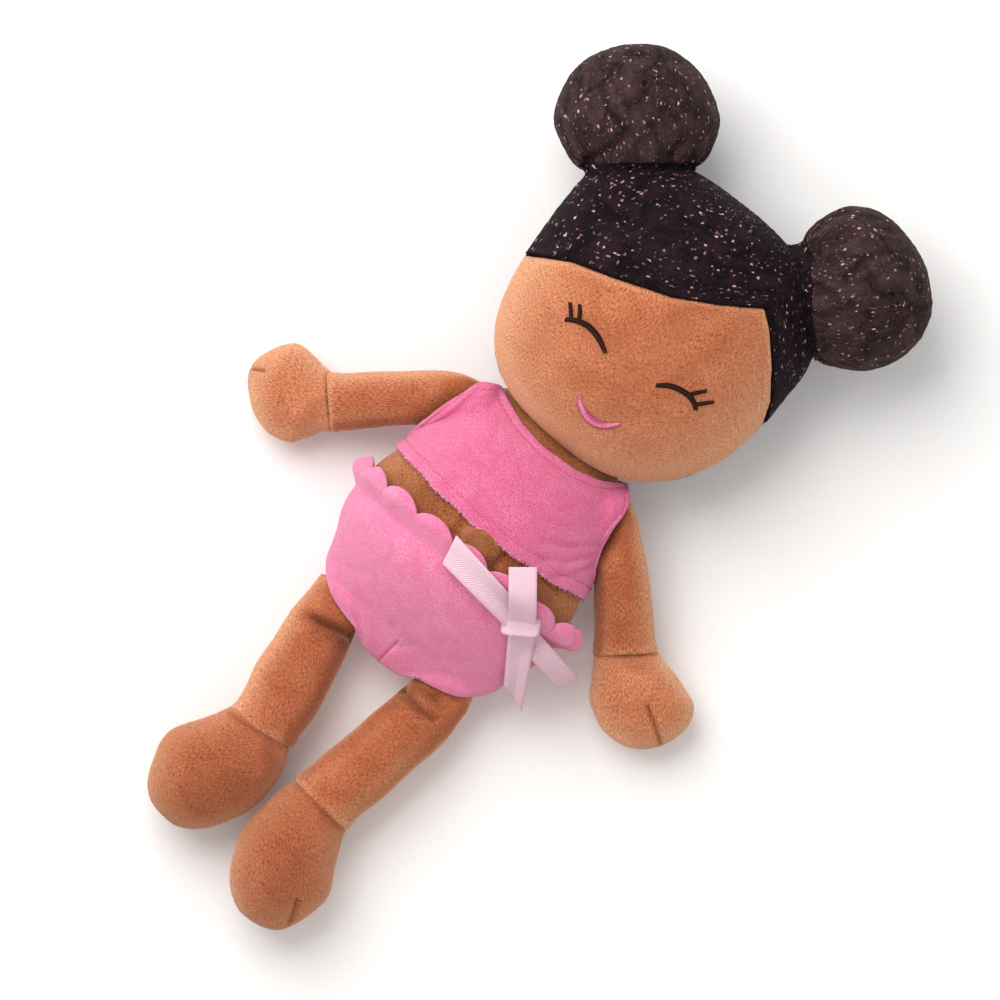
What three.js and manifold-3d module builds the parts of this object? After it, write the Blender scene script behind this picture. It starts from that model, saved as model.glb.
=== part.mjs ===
// A stuffed plush doll, lying on its back with its head towards +Y and its belly towards +Z.
// The doll's right side is at -X. Sizes are in millimetres and the floor is the plane z = 0.
// Every limb is a sewn cover over its own stuffing, pinched flat where it is sewn into the body,
// so that each seam works as a hinge of cloth.

import * as THREE from 'three';
import { mergeVertices } from 'three/addons/utils/BufferGeometryUtils.js';
import Module from 'manifold-3d';

const wasm = await Module();
wasm.setup();

// Cloths and fits
const PLUSH = 1.6;
const VELOUR = 1.3;
const TAPE = 0.8;
const SEAM_GAP = 0.3;
const FILL_GAP = 0.4;
const SWING_GAP = 0.5;
const TOP_EASE = 0.4;
const BOTTOMS_EASE = 1.3;
const FLOOR_PRESS = 0.5;

// Body, from the bottom seam up to the neck: each level gives its place along the body, its half width,
// its half depth and how high its back lies above the floor
const TOP_REST = TOP_EASE + VELOUR - FLOOR_PRESS;
const BOTTOMS_REST = BOTTOMS_EASE + VELOUR - FLOOR_PRESS;
const BOTTOM_SEAM = { y: -66.5, halfWidth: 33, halfDepth: 3, back: 16 };
const HIPS = { y: -58.5, halfWidth: 36.5, halfDepth: 12.5, back: 7.5 };
const SEAT = { y: -43.5, halfWidth: 41.5, halfDepth: 24, back: BOTTOMS_REST };
const WAIST = { y: -26.5, halfWidth: 45.2, halfDepth: 30, back: BOTTOMS_REST };
const BELLY = { y: -13, halfWidth: 47.2, halfDepth: 31, back: BOTTOMS_REST };
const CHEST = { y: 5.5, halfWidth: 42.3, halfDepth: 28.5, back: TOP_REST };
const SHOULDERS = { y: 22.5, halfWidth: 37, halfDepth: 22.5, back: 4 };
const COLLAR = { y: 35.5, halfWidth: 30.5, halfDepth: 13.5, back: 11.5 };
const SIDE_SEAM_EDGE = 1.3;

// Neck: a rounded stub that the head nods on, longest along the nodding axis
const NECK = { above: 3, halfLength: 20, radius: 12.5 };
const NOD = 15;

// Head
const HEAD = { halfWidth: 56.5, halfDepth: 38, crown: 42.5, jaw: 70.4, chinDrop: 4.3 };
const CROWN_FULLNESS = 2.2;
const JAW_FULLNESS = 2.5;
const HAIRLINE_LEFT = { x: 56, y: -17 };
const HAIRLINE_RIGHT = { x: -53, y: -24 };
const PART_LINE = { x: 28, y: 17 };
const HAIRLINE_RIGHT_END = { out: 8, down: 6 };
const HAIRLINE_LEFT_END = { out: 6, down: 18 };

// Hair buns
const BUN = { radius: 29.5, neck: 20.5, height: 49, waist: 20, depthShare: 0.9 };
const BUN_LEAN = 42;
const RIGHT_BUN = { x: -40.6, y: 28.5 };
const LEFT_BUN = { x: 36.1, y: 29.5 };
const GATHER_THREAD = 1.1;

// Face embroidery, measured from the middle of the head
const STITCH = 1.9;
const STITCH_RISE = 0.8;
const EYE_HALF_SPAN = 9.3;
const EYE_ARCH = 5;
const LASH = 5.6;
const RIGHT_EYE = { x: -17.6, y: -33.2, turn: 0 };
const LEFT_EYE = { x: 24.2, y: -29.8, turn: 8 };
const MOUTH = { x: 5, y: -52.8, halfSpan: 9.5, sag: 6.5, thickness: 2.4, turn: 6 };

// Arms, measured from the seam at the body to the wrist and on to the fingertips
const ARM = { length: 44, halfWidth: 10.6, halfDepth: 10, root: 9.6, rootY: 18.5, pinch: 2.6 };
const HAND = { length: 34.5, halfWidth: 18.3, halfDepth: 13.5 };
const RIGHT_ARM = { droop: 35.5, wristBend: 8 };
const LEFT_ARM = { droop: 38.5, wristBend: 2 };
const ARM_FORWARD = 70;
const ARM_BACK = 40;

// Legs, measured from the seam at the body to the ankle and on to the toes
const LEG = { length: 59, halfWidth: 14, halfDepth: 13.2, root: 12.5, rootX: 25.5, pinch: 2.6 };
const FOOT = { length: 50, halfWidth: 21.4, halfDepth: 20.5, toeOut: 8 };
const ANKLE_X = 18.4;
const RIGHT_LEG_BUNCH = 9;
const LEG_FORWARD = 80;
const LEG_BACK = 20;

// Share of the root's own size that its seam roll takes
const ROLL_SHARE = 0.96;

// Navel
const NAVEL = { x: 1.5, halfWidth: 7.5, halfHeight: 3.4, rise: 4.5 };

// Top
const TOP_HEM = { y: -9, sideRise: 4.5 };
const NECKLINE = { halfWidth: 29.5, drop: 9.5 };
const STRAP = 5.5;
const UNDERARM_Y = 5;
const ARMHOLE_DEPTH = 5;

// Bottoms
const SCALLOPS = { across: 7, halfSpan: 56, crest: -16.5, depth: 4.3, sideRise: 3 };
const FRILL_FLARE = 5;
const LEG_HOLE = { outerX: 38.5, outerY: -58.5, innerX: 12.6, innerY: -68.5 };
const ELASTIC = { width: 6, thickness: 0.7 };

// Bow of twill tape, tied at the doll's left hip
const BOW_TAPE = 10;
const KNOT = { x: 33, y: -28.5, length: 14, width: 9.5, thickness: 6, lean: 30 };
const LONG_LOOP = { x: -4, y: -21.5, layer: 0, drop: 0 };
const SHORT_LOOP = { x: 21, y: -11.5, layer: 1, drop: 0 };
const SIDE_TAIL = { x: 60.5, y: -33, layer: 0, drop: 3 };
const LOW_TAIL = { x: 48.5, y: -50.5, layer: 1, drop: 4 };
const LOOP_RISE = 3.2;
const KNOT_GATHER = 0.45;
const SIDE_REACH = 0.84;

// Fineness of the skins
const BODY_SIDES = 20;
const BODY_STEPS = 11;
const HEAD_SIDES = 20;
const HEAD_STEPS = 11;
const HEAD_LAST_RING = THREE.MathUtils.degToRad(84);
const NECK_SIDES = 12;
const BUN_SIDES = 14;
const BUN_STEPS = 8;
const THREAD_STEPS = 24;
const LIMB_SIDES = 12;
const TAPE_STEPS = 7;
const FOLD_STEPS = 4;
const SWEEP_SIDES = 8;
const SWEEP_STEPS = 5;
const SWEEP_GAP = 1.1;
const FAR = 400;

const UP = new THREE.Vector3(0, 0, 1);
const ACROSS = new THREE.Vector3(1, 0, 0);
const ALONG = new THREE.Vector3(0, 1, 0);
const FRONT = Math.PI / 2;

// Closed triangle mesh to solid, with its faces turned outwards
function solidOf(geometry) {
  const bare = geometry.clone();
  bare.deleteAttribute('normal');
  bare.deleteAttribute('uv');
  const merged = mergeVertices(bare, 1e-4);
  const vertProperties = new Float32Array(merged.attributes.position.array);
  const triVerts = new Uint32Array(merged.index.array);
  const solid = new wasm.Manifold(new wasm.Mesh({ numProp: 3, vertProperties, triVerts }));
  if (solid.volume() >= 0) return solid;
  for (let i = 0; i < triVerts.length; i += 3) {
    [triVerts[i], triVerts[i + 1]] = [triVerts[i + 1], triVerts[i]];
  }
  return new wasm.Manifold(new wasm.Mesh({ numProp: 3, vertProperties, triVerts }));
}

// Skin through equal rings of points, closed at both ends; a looped skin joins its last ring to its first,
// and the sides listed as crosswise split along their other diagonal
function skinThrough(rings, looped = false, crosswise = []) {
  const sides = rings[0].length;
  const points = rings.flat();
  const index = [];
  const spans = looped ? rings.length : rings.length - 1;
  for (let i = 0; i < spans; i++) {
    const next = (i + 1) % rings.length;
    for (let j = 0; j < sides; j++) {
      const k = (j + 1) % sides;
      const [a, b, c, d] = [i * sides + j, i * sides + k, next * sides + k, next * sides + j];
      index.push(...(crosswise.includes(j) ? [a, b, d, b, c, d] : [a, b, c, a, c, d]));
    }
  }
  if (!looped) {
    for (const [first, flip] of [[0, true], [(rings.length - 1) * sides, false]]) {
      const middle = new THREE.Vector3();
      for (let j = 0; j < sides; j++) middle.addScaledVector(points[first + j], 1 / sides);
      const apex = points.push(middle) - 1;
      for (let j = 0; j < sides; j++) {
        const k = (j + 1) % sides;
        index.push(...(flip ? [first + k, first + j, apex] : [first + j, first + k, apex]));
      }
    }
  }
  const geometry = new THREE.BufferGeometry().setFromPoints(points);
  geometry.setIndex(index);
  return solidOf(geometry);
}

// Growth of a skin at a level and an angle around it: one number, or a rule that varies it
function outset(grow, y, angle) {
  return typeof grow === 'function' ? grow(y, angle) : grow;
}

// Ring of a section: an oval whose edge power sharpens its two sides towards a seam
function ovalRing(section, grow, sides) {
  const { centre, u, v, a, b, edge = 1 } = section;
  const ring = [];
  for (let j = 0; j < sides; j++) {
    const angle = (2 * Math.PI * j) / sides;
    const extra = outset(grow, centre.y, angle);
    const across = (a + extra) * Math.cos(angle);
    const deep = (b + extra) * Math.sign(Math.sin(angle)) * Math.abs(Math.sin(angle)) ** edge;
    ring.push(centre.clone().addScaledVector(u, across).addScaledVector(v, deep));
  }
  return ring;
}

function box(x0, y0, z0, x1, y1, z1) {
  const geometry = new THREE.BoxGeometry(x1 - x0, y1 - y0, z1 - z0);
  return solidOf(geometry.translate((x0 + x1) / 2, (y0 + y1) / 2, (z0 + z1) / 2));
}

// Outline in the plan view, pushed through the doll from back to front
function prism(shape) {
  const geometry = new THREE.ExtrudeGeometry(shape, { depth: FAR, bevelEnabled: false, curveSegments: 5 });
  return solidOf(geometry.translate(0, 0, -FAR / 2));
}

function ellipsoid(centre, rx, ry, rz, sides) {
  const geometry = new THREE.SphereGeometry(1, sides, Math.round(sides * 0.6)).scale(rx, ry, rz);
  return solidOf(geometry.translate(centre.x, centre.y, centre.z));
}

function turned(solid, pivot, axis, degrees) {
  const matrix = new THREE.Matrix4().makeTranslation(pivot.x, pivot.y, pivot.z);
  matrix.multiply(new THREE.Matrix4().makeRotationAxis(axis, THREE.MathUtils.degToRad(degrees)));
  matrix.multiply(new THREE.Matrix4().makeTranslation(-pivot.x, -pivot.y, -pivot.z));
  return solid.transform(matrix.elements);
}

// Space that a swinging piece passes through, in equal steps between its limits
function swept(solid, pivot, axis, from, to, steps) {
  let space = solid;
  for (let i = 0; i <= steps; i++) {
    space = space.add(turned(solid, pivot, axis, from + ((to - from) * i) / steps));
  }
  return space;
}

// Largest body of a piece, without the offcuts
function trimmed(solid) {
  return solid.decompose().sort((one, other) => other.volume() - one.volume())[0];
}

const floor = box(-FAR, -FAR, -FAR, FAR, FAR, 0);
const group = new THREE.Group();

function cloth(color, roughness = 0.95) {
  return new THREE.MeshStandardMaterial({ color, roughness, metalness: 0 });
}

function node(name, solid, material) {
  const mesh = solid.getMesh();
  const geometry = new THREE.BufferGeometry();
  geometry.setAttribute('position', new THREE.BufferAttribute(mesh.vertProperties, 3));
  geometry.setIndex(new THREE.BufferAttribute(mesh.triVerts, 1));
  geometry.computeVertexNormals();
  const piece = new THREE.Mesh(geometry, material);
  piece.name = name;
  group.add(piece);
}

const SKIN = 0xc27a4b;
const HAIR = 0x2c2125;
const PINK = 0xe0689c;
const PALE_PINK = 0xf0c8d4;
const FIBREFILL = 0xf1eee6;

// Body profile

const LEVELS = [BOTTOM_SEAM, HIPS, SEAT, WAIST, BELLY, CHEST, SHOULDERS, COLLAR];
const sizeCurve = new THREE.CatmullRomCurve3(
  LEVELS.map((level) => new THREE.Vector3(level.y, level.halfWidth, level.halfDepth)),
);
const middleCurve = new THREE.CatmullRomCurve3(
  LEVELS.map((level) => new THREE.Vector3(level.y, level.back + level.halfDepth, 0)),
);
const bodyRings = Array.from({ length: BODY_STEPS + 1 }, (_, i) => {
  const size = sizeCurve.getPoint(i / BODY_STEPS);
  return { y: size.x, a: size.y, b: size.z, z: middleCurve.getPoint(i / BODY_STEPS).y };
});

// Half width, half depth and middle height of the body at a level, between its two nearest rings
function bodyAt(y, grow = 0) {
  const above = bodyRings.findIndex((ring) => ring.y >= y);
  const next = above < 0 ? BODY_STEPS : Math.max(above, 1);
  const [low, high] = [bodyRings[next - 1], bodyRings[next]];
  const share = (y - low.y) / (high.y - low.y);
  const mix = (of) => THREE.MathUtils.lerp(of(low), of(high), share);
  const extra = mix((ring) => outset(grow, ring.y, FRONT));
  return { a: mix((ring) => ring.a) + extra, b: mix((ring) => ring.b) + extra, z: mix((ring) => ring.z) };
}

// Height of the belly side at a point of the plan view, grown outwards
function bodyFront(x, y, grow) {
  const { a, b, z } = bodyAt(y, grow);
  const share = Math.min(Math.abs(x) / a, 1);
  return z + b * (1 - share * share) ** (SIDE_SEAM_EDGE / 2);
}

function bodyForm(grow, stretch, sides = BODY_SIDES) {
  return skinThrough(bodyRings.map(({ y, a, b, z }, i) => {
    const end = i === 0 ? -stretch : i === BODY_STEPS ? stretch : 0;
    const centre = new THREE.Vector3(0, y + end, z);
    return ovalRing({ centre, u: ACROSS, v: UP, a, b, edge: SIDE_SEAM_EDGE }, grow, sides);
  }));
}

// Everything in front of the side seams, moved up or down by half the seam gap
function frontHalf(shift) {
  const shape = new THREE.Shape();
  shape.moveTo(-FAR, bodyRings[0].z + shift);
  for (const ring of bodyRings) shape.lineTo(ring.y, ring.z + shift);
  shape.lineTo(FAR, bodyRings[BODY_STEPS].z + shift);
  shape.lineTo(FAR, FAR);
  shape.lineTo(-FAR, FAR);
  const geometry = new THREE.ExtrudeGeometry(shape, { depth: FAR, bevelEnabled: false });
  const toBody = new THREE.Matrix4().makeBasis(ALONG, UP, ACROSS).setPosition(-FAR / 2, 0, 0);
  return solidOf(geometry.applyMatrix4(toBody));
}

const bodyFrontSpace = frontHalf(SEAM_GAP / 2);
const bodyBackSpace = frontHalf(-SEAM_GAP / 2);

// Head

const neck = new THREE.Vector3(0, COLLAR.y + NECK.above, COLLAR.back + COLLAR.halfDepth);
const headCentre = new THREE.Vector3(0, neck.y - HEAD.chinDrop + HEAD.jaw, HEAD.halfDepth - FLOOR_PRESS);

function fullness(share, power) {
  return (1 - Math.abs(share) ** power) ** (1 / power);
}

function headSection(y) {
  const above = y > headCentre.y;
  const share = Math.min(Math.abs(y - headCentre.y) / (above ? HEAD.crown : HEAD.jaw), 1);
  const wide = HEAD.halfWidth * fullness(share, above ? CROWN_FULLNESS : JAW_FULLNESS);
  return { a: wide, b: HEAD.halfDepth * fullness(share, CROWN_FULLNESS) };
}

function headFront(x, y) {
  const { a, b } = headSection(y);
  return headCentre.z + b * Math.sqrt(Math.max(1 - (x / a) ** 2, 0));
}

function headForm(grow, sides = HEAD_SIDES) {
  const rings = [];
  for (let i = 0; i <= HEAD_STEPS; i++) {
    const share = Math.sin(HEAD_LAST_RING * ((2 * i) / HEAD_STEPS - 1));
    const above = share > 0;
    const reach = (above ? HEAD.crown : HEAD.jaw) + grow;
    const centre = new THREE.Vector3(0, headCentre.y + reach * share, headCentre.z);
    const wide = (HEAD.halfWidth + grow) * fullness(share, above ? CROWN_FULLNESS : JAW_FULLNESS);
    const deep = (HEAD.halfDepth + grow) * fullness(share, CROWN_FULLNESS);
    rings.push(ovalRing({ centre, u: ACROSS, v: UP, a: wide, b: deep }, 0, sides));
  }
  return skinThrough(rings);
}

function neckForm(grow) {
  const radius = NECK.radius + grow;
  return ellipsoid(neck, NECK.halfLength + grow, radius, radius, NECK_SIDES);
}

const headSocket = neckForm(SWING_GAP);
const headShell = headForm(0).subtract(headForm(-PLUSH)).subtract(headSocket).subtract(floor);
const headSeam = headCentre.z;
const headFrontShell = headShell.intersect(box(-FAR, -FAR, headSeam + SEAM_GAP / 2, FAR, FAR, FAR));
const headBackShell = headShell.intersect(box(-FAR, -FAR, -FAR, FAR, FAR, headSeam - SEAM_GAP / 2));

// The face panel runs up to a pointed hair part on the doll's left of the forehead
function facePrism(lift) {
  const at = (x, y) => new THREE.Vector2(x, headCentre.y + y + lift);
  const shape = new THREE.Shape();
  const rightEnd = at(HAIRLINE_RIGHT.x - HAIRLINE_RIGHT_END.out, HAIRLINE_RIGHT.y - HAIRLINE_RIGHT_END.down);
  const leftEnd = at(HAIRLINE_LEFT.x + HAIRLINE_LEFT_END.out, HAIRLINE_LEFT.y - HAIRLINE_LEFT_END.down);
  shape.moveTo(-FAR, 0);
  shape.lineTo(-FAR, rightEnd.y);
  shape.lineTo(rightEnd.x, rightEnd.y);
  const rise = PART_LINE.y - HAIRLINE_RIGHT.y;
  const run = PART_LINE.x - HAIRLINE_RIGHT.x;
  shape.splineThru([
    at(HAIRLINE_RIGHT.x, HAIRLINE_RIGHT.y),
    at(HAIRLINE_RIGHT.x + run * 0.38, HAIRLINE_RIGHT.y + rise * 0.34),
    at(HAIRLINE_RIGHT.x + run * 0.74, HAIRLINE_RIGHT.y + rise * 0.65),
    at(PART_LINE.x, PART_LINE.y),
  ]);
  const fall = PART_LINE.y - HAIRLINE_LEFT.y;
  shape.splineThru([
    at(PART_LINE.x + (HAIRLINE_LEFT.x - PART_LINE.x) * 0.58, PART_LINE.y - fall * 0.45),
    at(HAIRLINE_LEFT.x, HAIRLINE_LEFT.y),
    leftEnd,
  ]);
  shape.lineTo(FAR, leftEnd.y);
  shape.lineTo(FAR, 0);
  return prism(shape);
}

node('face_panel', headFrontShell.intersect(facePrism(0)), cloth(SKIN));
node('hair_front_panel', headFrontShell.subtract(facePrism(SEAM_GAP * 1.5)), cloth(HAIR, 0.8));
node('head_back_panel', headBackShell, cloth(HAIR, 0.8));
const fillInset = -PLUSH - FILL_GAP;
const headFill = headForm(fillInset, HEAD_SIDES / 2).subtract(neckForm(SWING_GAP + PLUSH));
node('head_stuffing', headFill, cloth(FIBREFILL));

// Embroidery: raised stitches that follow the front of the face

function stitchLine(points, widths) {
  const curve = new THREE.CatmullRomCurve3(points);
  const steps = 2 * (points.length - 1);
  const rings = [];
  for (let i = 0; i <= steps; i++) {
    const centre = curve.getPoint(i / steps);
    const tangent = curve.getTangent(i / steps);
    const u = tangent.clone().cross(UP).normalize();
    const v = u.clone().cross(tangent).normalize();
    rings.push(ovalRing({ centre, u, v, a: widths(i / steps) / 2, b: STITCH_RISE / 2 }, 0, 6));
  }
  return skinThrough(rings);
}

function onFace(place, x, y) {
  const turn = THREE.MathUtils.degToRad(place.turn);
  const px = place.x + x * Math.cos(turn) - y * Math.sin(turn);
  const py = headCentre.y + place.y + x * Math.sin(turn) + y * Math.cos(turn);
  return new THREE.Vector3(px, py, headFront(px, py) + SEAM_GAP + STITCH_RISE / 2);
}

// A closed eye: an arched lid line with two lashes at its outer end
function closedEye(place, outer) {
  const lid = [-1, -0.5, 0, 0.5, 1].map((s) => onFace(place, s * EYE_HALF_SPAN, EYE_ARCH * (0.6 - s * s)));
  let eye = stitchLine(lid, () => STITCH);
  for (const [start, lean] of [[0.9, 0.9], [0.55, 0.62]]) {
    const base = EYE_ARCH * (0.6 - start * start);
    const foot = onFace(place, outer * start * EYE_HALF_SPAN, base);
    const halfway = onFace(place, outer * (start * EYE_HALF_SPAN + lean * LASH * 0.4), base + LASH * 0.4);
    const tip = onFace(place, outer * (start * EYE_HALF_SPAN + lean * LASH * 0.8), base + LASH * 0.8);
    eye = eye.add(stitchLine([foot, halfway, tip], () => STITCH * 0.75));
  }
  return eye;
}

node('right_eye_embroidery', closedEye(RIGHT_EYE, -1), cloth(0x3a2023, 0.5));
node('left_eye_embroidery', closedEye(LEFT_EYE, 1), cloth(0x3a2023, 0.5));
const smile = [-1, -0.5, 0, 0.5, 1].map((s) => onFace(MOUTH, s * MOUTH.halfSpan, MOUTH.sag * s * s));
const smileWidth = (t) => MOUTH.thickness * (0.25 + 0.75 * Math.sin(Math.PI * t));
node('mouth_embroidery', stitchLine(smile, smileWidth), cloth(0xcd5f8c, 0.5));

// Hair buns: gathered balls sewn on the upper corners of the head

function bunRadius(height) {
  if (height <= 0) return BUN.neck;
  const below = BUN.waist / Math.sqrt(1 - (BUN.neck / BUN.radius) ** 2);
  const share = (height - BUN.waist) / (height > BUN.waist ? BUN.height - BUN.waist : below);
  return BUN.radius * Math.sqrt(Math.max(1 - share * share, 0));
}

function bunFrame(place) {
  const lean = THREE.MathUtils.degToRad(BUN_LEAN);
  const axis = new THREE.Vector3(Math.sign(place.x) * Math.sin(lean), Math.cos(lean), 0);
  const across = new THREE.Vector3().crossVectors(axis, UP);
  const seat = new THREE.Vector3(place.x, headCentre.y + place.y, headCentre.z);
  return { axis, across, seat };
}

function bunForm(place, grow, sides = BUN_SIDES) {
  const { axis, across, seat } = bunFrame(place);
  const foot = -BUN.waist;
  const profile = [new THREE.Vector2(0, foot), new THREE.Vector2(BUN.neck + grow, foot)];
  for (let i = 0; i < BUN_STEPS; i++) {
    const share = (1 - Math.cos((Math.PI * i) / BUN_STEPS)) / 2;
    profile.push(new THREE.Vector2(bunRadius(BUN.height * share) + grow, (BUN.height + grow) * share));
  }
  profile.push(new THREE.Vector2(0, BUN.height + grow));
  const lathe = new THREE.LatheGeometry(profile, sides).scale(1, 1, BUN.depthShare);
  const stand = new THREE.Matrix4().makeBasis(across, axis, UP).setPosition(seat);
  return solidOf(lathe.applyMatrix4(stand));
}

// The gathering thread lies in the crease where the bun meets the head
function gatherThread(place) {
  const { axis, across, seat } = bunFrame(place);
  const clear = SEAM_GAP + GATHER_THREAD / 2;
  const insideHead = (p) => {
    const { a, b } = headSection(p.y);
    const grow = 2 * SEAM_GAP + clear;
    return ((p.x / (a + grow)) ** 2 + ((p.z - headCentre.z) / (b + grow)) ** 2) < 1;
  };
  const path = [];
  for (let i = 0; i < THREAD_STEPS; i++) {
    const angle = (2 * Math.PI * i) / THREAD_STEPS;
    const at = (height) => {
      const radius = bunRadius(Math.max(height, 0)) + clear;
      return seat.clone().addScaledVector(axis, height)
        .addScaledVector(across, radius * Math.cos(angle))
        .addScaledVector(UP, radius * BUN.depthShare * Math.sin(angle) + clear * Math.sin(angle) * 0.2);
    };
    let height = BUN.waist;
    while (height > -BUN.waist && !insideHead(at(height - 0.2))) height -= 0.2;
    path.push(at(height));
  }
  const rings = path.map((centre, i) => {
    const [before, after] = [path.at(i - 1), path[(i + 1) % THREAD_STEPS]];
    const ahead = after.clone().sub(before).normalize();
    const u = new THREE.Vector3().crossVectors(ahead, axis).normalize();
    const v = new THREE.Vector3().crossVectors(u, ahead).normalize();
    return ovalRing({ centre, u, v, a: GATHER_THREAD / 2, b: GATHER_THREAD / 2 }, 0, 4);
  });
  return skinThrough(rings, true);
}

const headRoom = headForm(SEAM_GAP);
for (const [name, place] of [['right', RIGHT_BUN], ['left', LEFT_BUN]]) {
  const outside = bunForm(place, 0).subtract(headRoom);
  const inside = bunForm(place, -PLUSH);
  node(`${name}_bun_cover`, outside.subtract(inside), cloth(HAIR, 0.8));
  const fill = bunForm(place, fillInset, BUN_SIDES / 2).subtract(headRoom);
  node(`${name}_bun_stuffing`, fill, cloth(FIBREFILL));
  node(`${name}_bun_gathering_thread`, gatherThread(place), cloth(0x9a9aa8, 0.6));
}

// Limbs: a run of sections along a path that may bend once, pinched flat at the root

function limbForm(limb, grow, sides = LIMB_SIDES) {
  const { root, ahead, bend, rootLine, levels, length } = limb;
  const joint = root.clone().addScaledVector(ahead, length);
  const beyond = ahead.clone().applyAxisAngle(UP, THREE.MathUtils.degToRad(bend));
  const flat = UP.clone().addScaledVector(ahead, -UP.dot(ahead)).normalize();
  const square = new THREE.Vector3().crossVectors(ahead, flat).normalize();
  if (square.dot(rootLine) < 0) square.negate();
  const rings = levels.map(([along, a, b], i) => {
    const past = along - length;
    const centre = past < 0
      ? root.clone().addScaledVector(ahead, along)
      : joint.clone().addScaledVector(beyond, past);
    const end = i === 0 ? -grow : i === levels.length - 1 ? grow : 0;
    centre.addScaledVector(past < 0 ? ahead : beyond, end);
    const settle = THREE.MathUtils.smoothstep(along, 0, limb.settle);
    const bent = THREE.MathUtils.smoothstep(along, length - 4, length + 8);
    const u = rootLine.clone().lerp(square, settle).normalize();
    const slant = new THREE.Vector3().crossVectors(u, ahead).length();
    u.applyAxisAngle(UP, THREE.MathUtils.degToRad(bend) * bent);
    return ovalRing({ centre, u, v: flat, a: a / slant, b }, grow, sides);
  });
  return skinThrough(rings);
}

// Roll of sewn cloth at the root, round about the hinge line, so that the seam stays shut as the limb swings
function seamRoll(limb, grow) {
  const [, halfWidth, pinch] = limb.levels[0];
  const slant = new THREE.Vector3().crossVectors(limb.rootLine, limb.ahead).length();
  const radius = (pinch + grow) * ROLL_SHARE;
  const geometry = new THREE.SphereGeometry(1, SWEEP_SIDES, SWEEP_SIDES);
  geometry.scale(radius, (halfWidth / slant + grow) * ROLL_SHARE, radius);
  geometry.applyQuaternion(new THREE.Quaternion().setFromUnitVectors(ALONG, limb.rootLine));
  return solidOf(geometry.translate(limb.root.x, limb.root.y, limb.root.z));
}

// Half space beyond the seam that joins the limb's tube to its hand or foot
function beyondSeam(limb, shift) {
  const geometry = new THREE.BoxGeometry(FAR, FAR, FAR).translate(0, 0, FAR / 2);
  const turn = new THREE.Quaternion().setFromUnitVectors(UP, limb.ahead);
  const place = limb.root.clone().addScaledVector(limb.ahead, limb.length + shift);
  return solidOf(geometry.applyQuaternion(turn).translate(place.x, place.y, place.z));
}

function limbNodes(limb, tube, end) {
  const form = limbForm(limb, 0).add(seamRoll(limb, 0)).subtract(floor);
  const shell = form.subtract(limbForm(limb, -PLUSH));
  node(`${limb.name}_${tube}_cover`, shell.subtract(beyondSeam(limb, -SEAM_GAP / 2)), cloth(SKIN));
  node(`${limb.name}_${end}_cover`, shell.intersect(beyondSeam(limb, SEAM_GAP / 2)), cloth(SKIN));
  node(`${limb.name}_${tube}_stuffing`, limbForm(limb, fillInset), cloth(FIBREFILL));
}

function armOf(name, side, pose) {
  const rootLevel = bodyAt(ARM.rootY);
  const reach = ARM.root * 1.6;
  const sideAt = (y) => new THREE.Vector3(side * bodyAt(y).a, y, rootLevel.z);
  const rootLine = sideAt(ARM.rootY + reach).sub(sideAt(ARM.rootY - reach)).normalize();
  const outward = new THREE.Vector3(side * rootLine.y, -side * rootLine.x, 0);
  const middle = sideAt(ARM.rootY + reach).add(sideAt(ARM.rootY - reach)).multiplyScalar(0.5);
  const besideRoot = bodyRings.filter((ring) => Math.abs(ring.y - ARM.rootY) < reach);
  const bulge = Math.max(0, ...besideRoot.map((ring) => sideAt(ring.y).sub(middle).dot(outward)));
  const root = middle.clone().addScaledVector(outward, bulge + ARM.pinch + SWING_GAP);
  const droop = THREE.MathUtils.degToRad(pose.droop);
  const palmHeight = HAND.halfDepth - FLOOR_PRESS;
  const palmReach = ARM.length + HAND.length / 2;
  const sink = Math.asin((root.z - palmHeight) / palmReach);
  const ahead = new THREE.Vector3(side * Math.cos(droop), -Math.sin(droop), -Math.tan(sink)).normalize();
  const wrist = ARM.length;
  const levels = [
    [0, ARM.root, ARM.pinch],
    [4, ARM.root, ARM.pinch + 2],
    [10, ARM.halfWidth * 0.97, ARM.halfDepth * 0.78],
    [18, ARM.halfWidth, ARM.halfDepth * 0.97],
    [wrist * 0.75, ARM.halfWidth, ARM.halfDepth],
    [wrist, ARM.halfWidth * 1.05, ARM.halfDepth * 0.95],
    [wrist + HAND.length * 0.2, HAND.halfWidth * 0.84, HAND.halfDepth * 0.88],
    [wrist + HAND.length * 0.48, HAND.halfWidth, HAND.halfDepth],
    [wrist + HAND.length * 0.76, HAND.halfWidth * 0.86, HAND.halfDepth * 0.85],
    [wrist + HAND.length * 0.93, HAND.halfWidth * 0.52, HAND.halfDepth * 0.5],
    [wrist + HAND.length, HAND.halfWidth * 0.2, HAND.halfDepth * 0.2],
  ];
  return { name, root, ahead, bend: side * pose.wristBend, rootLine, levels, length: wrist, settle: wrist };
}

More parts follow.
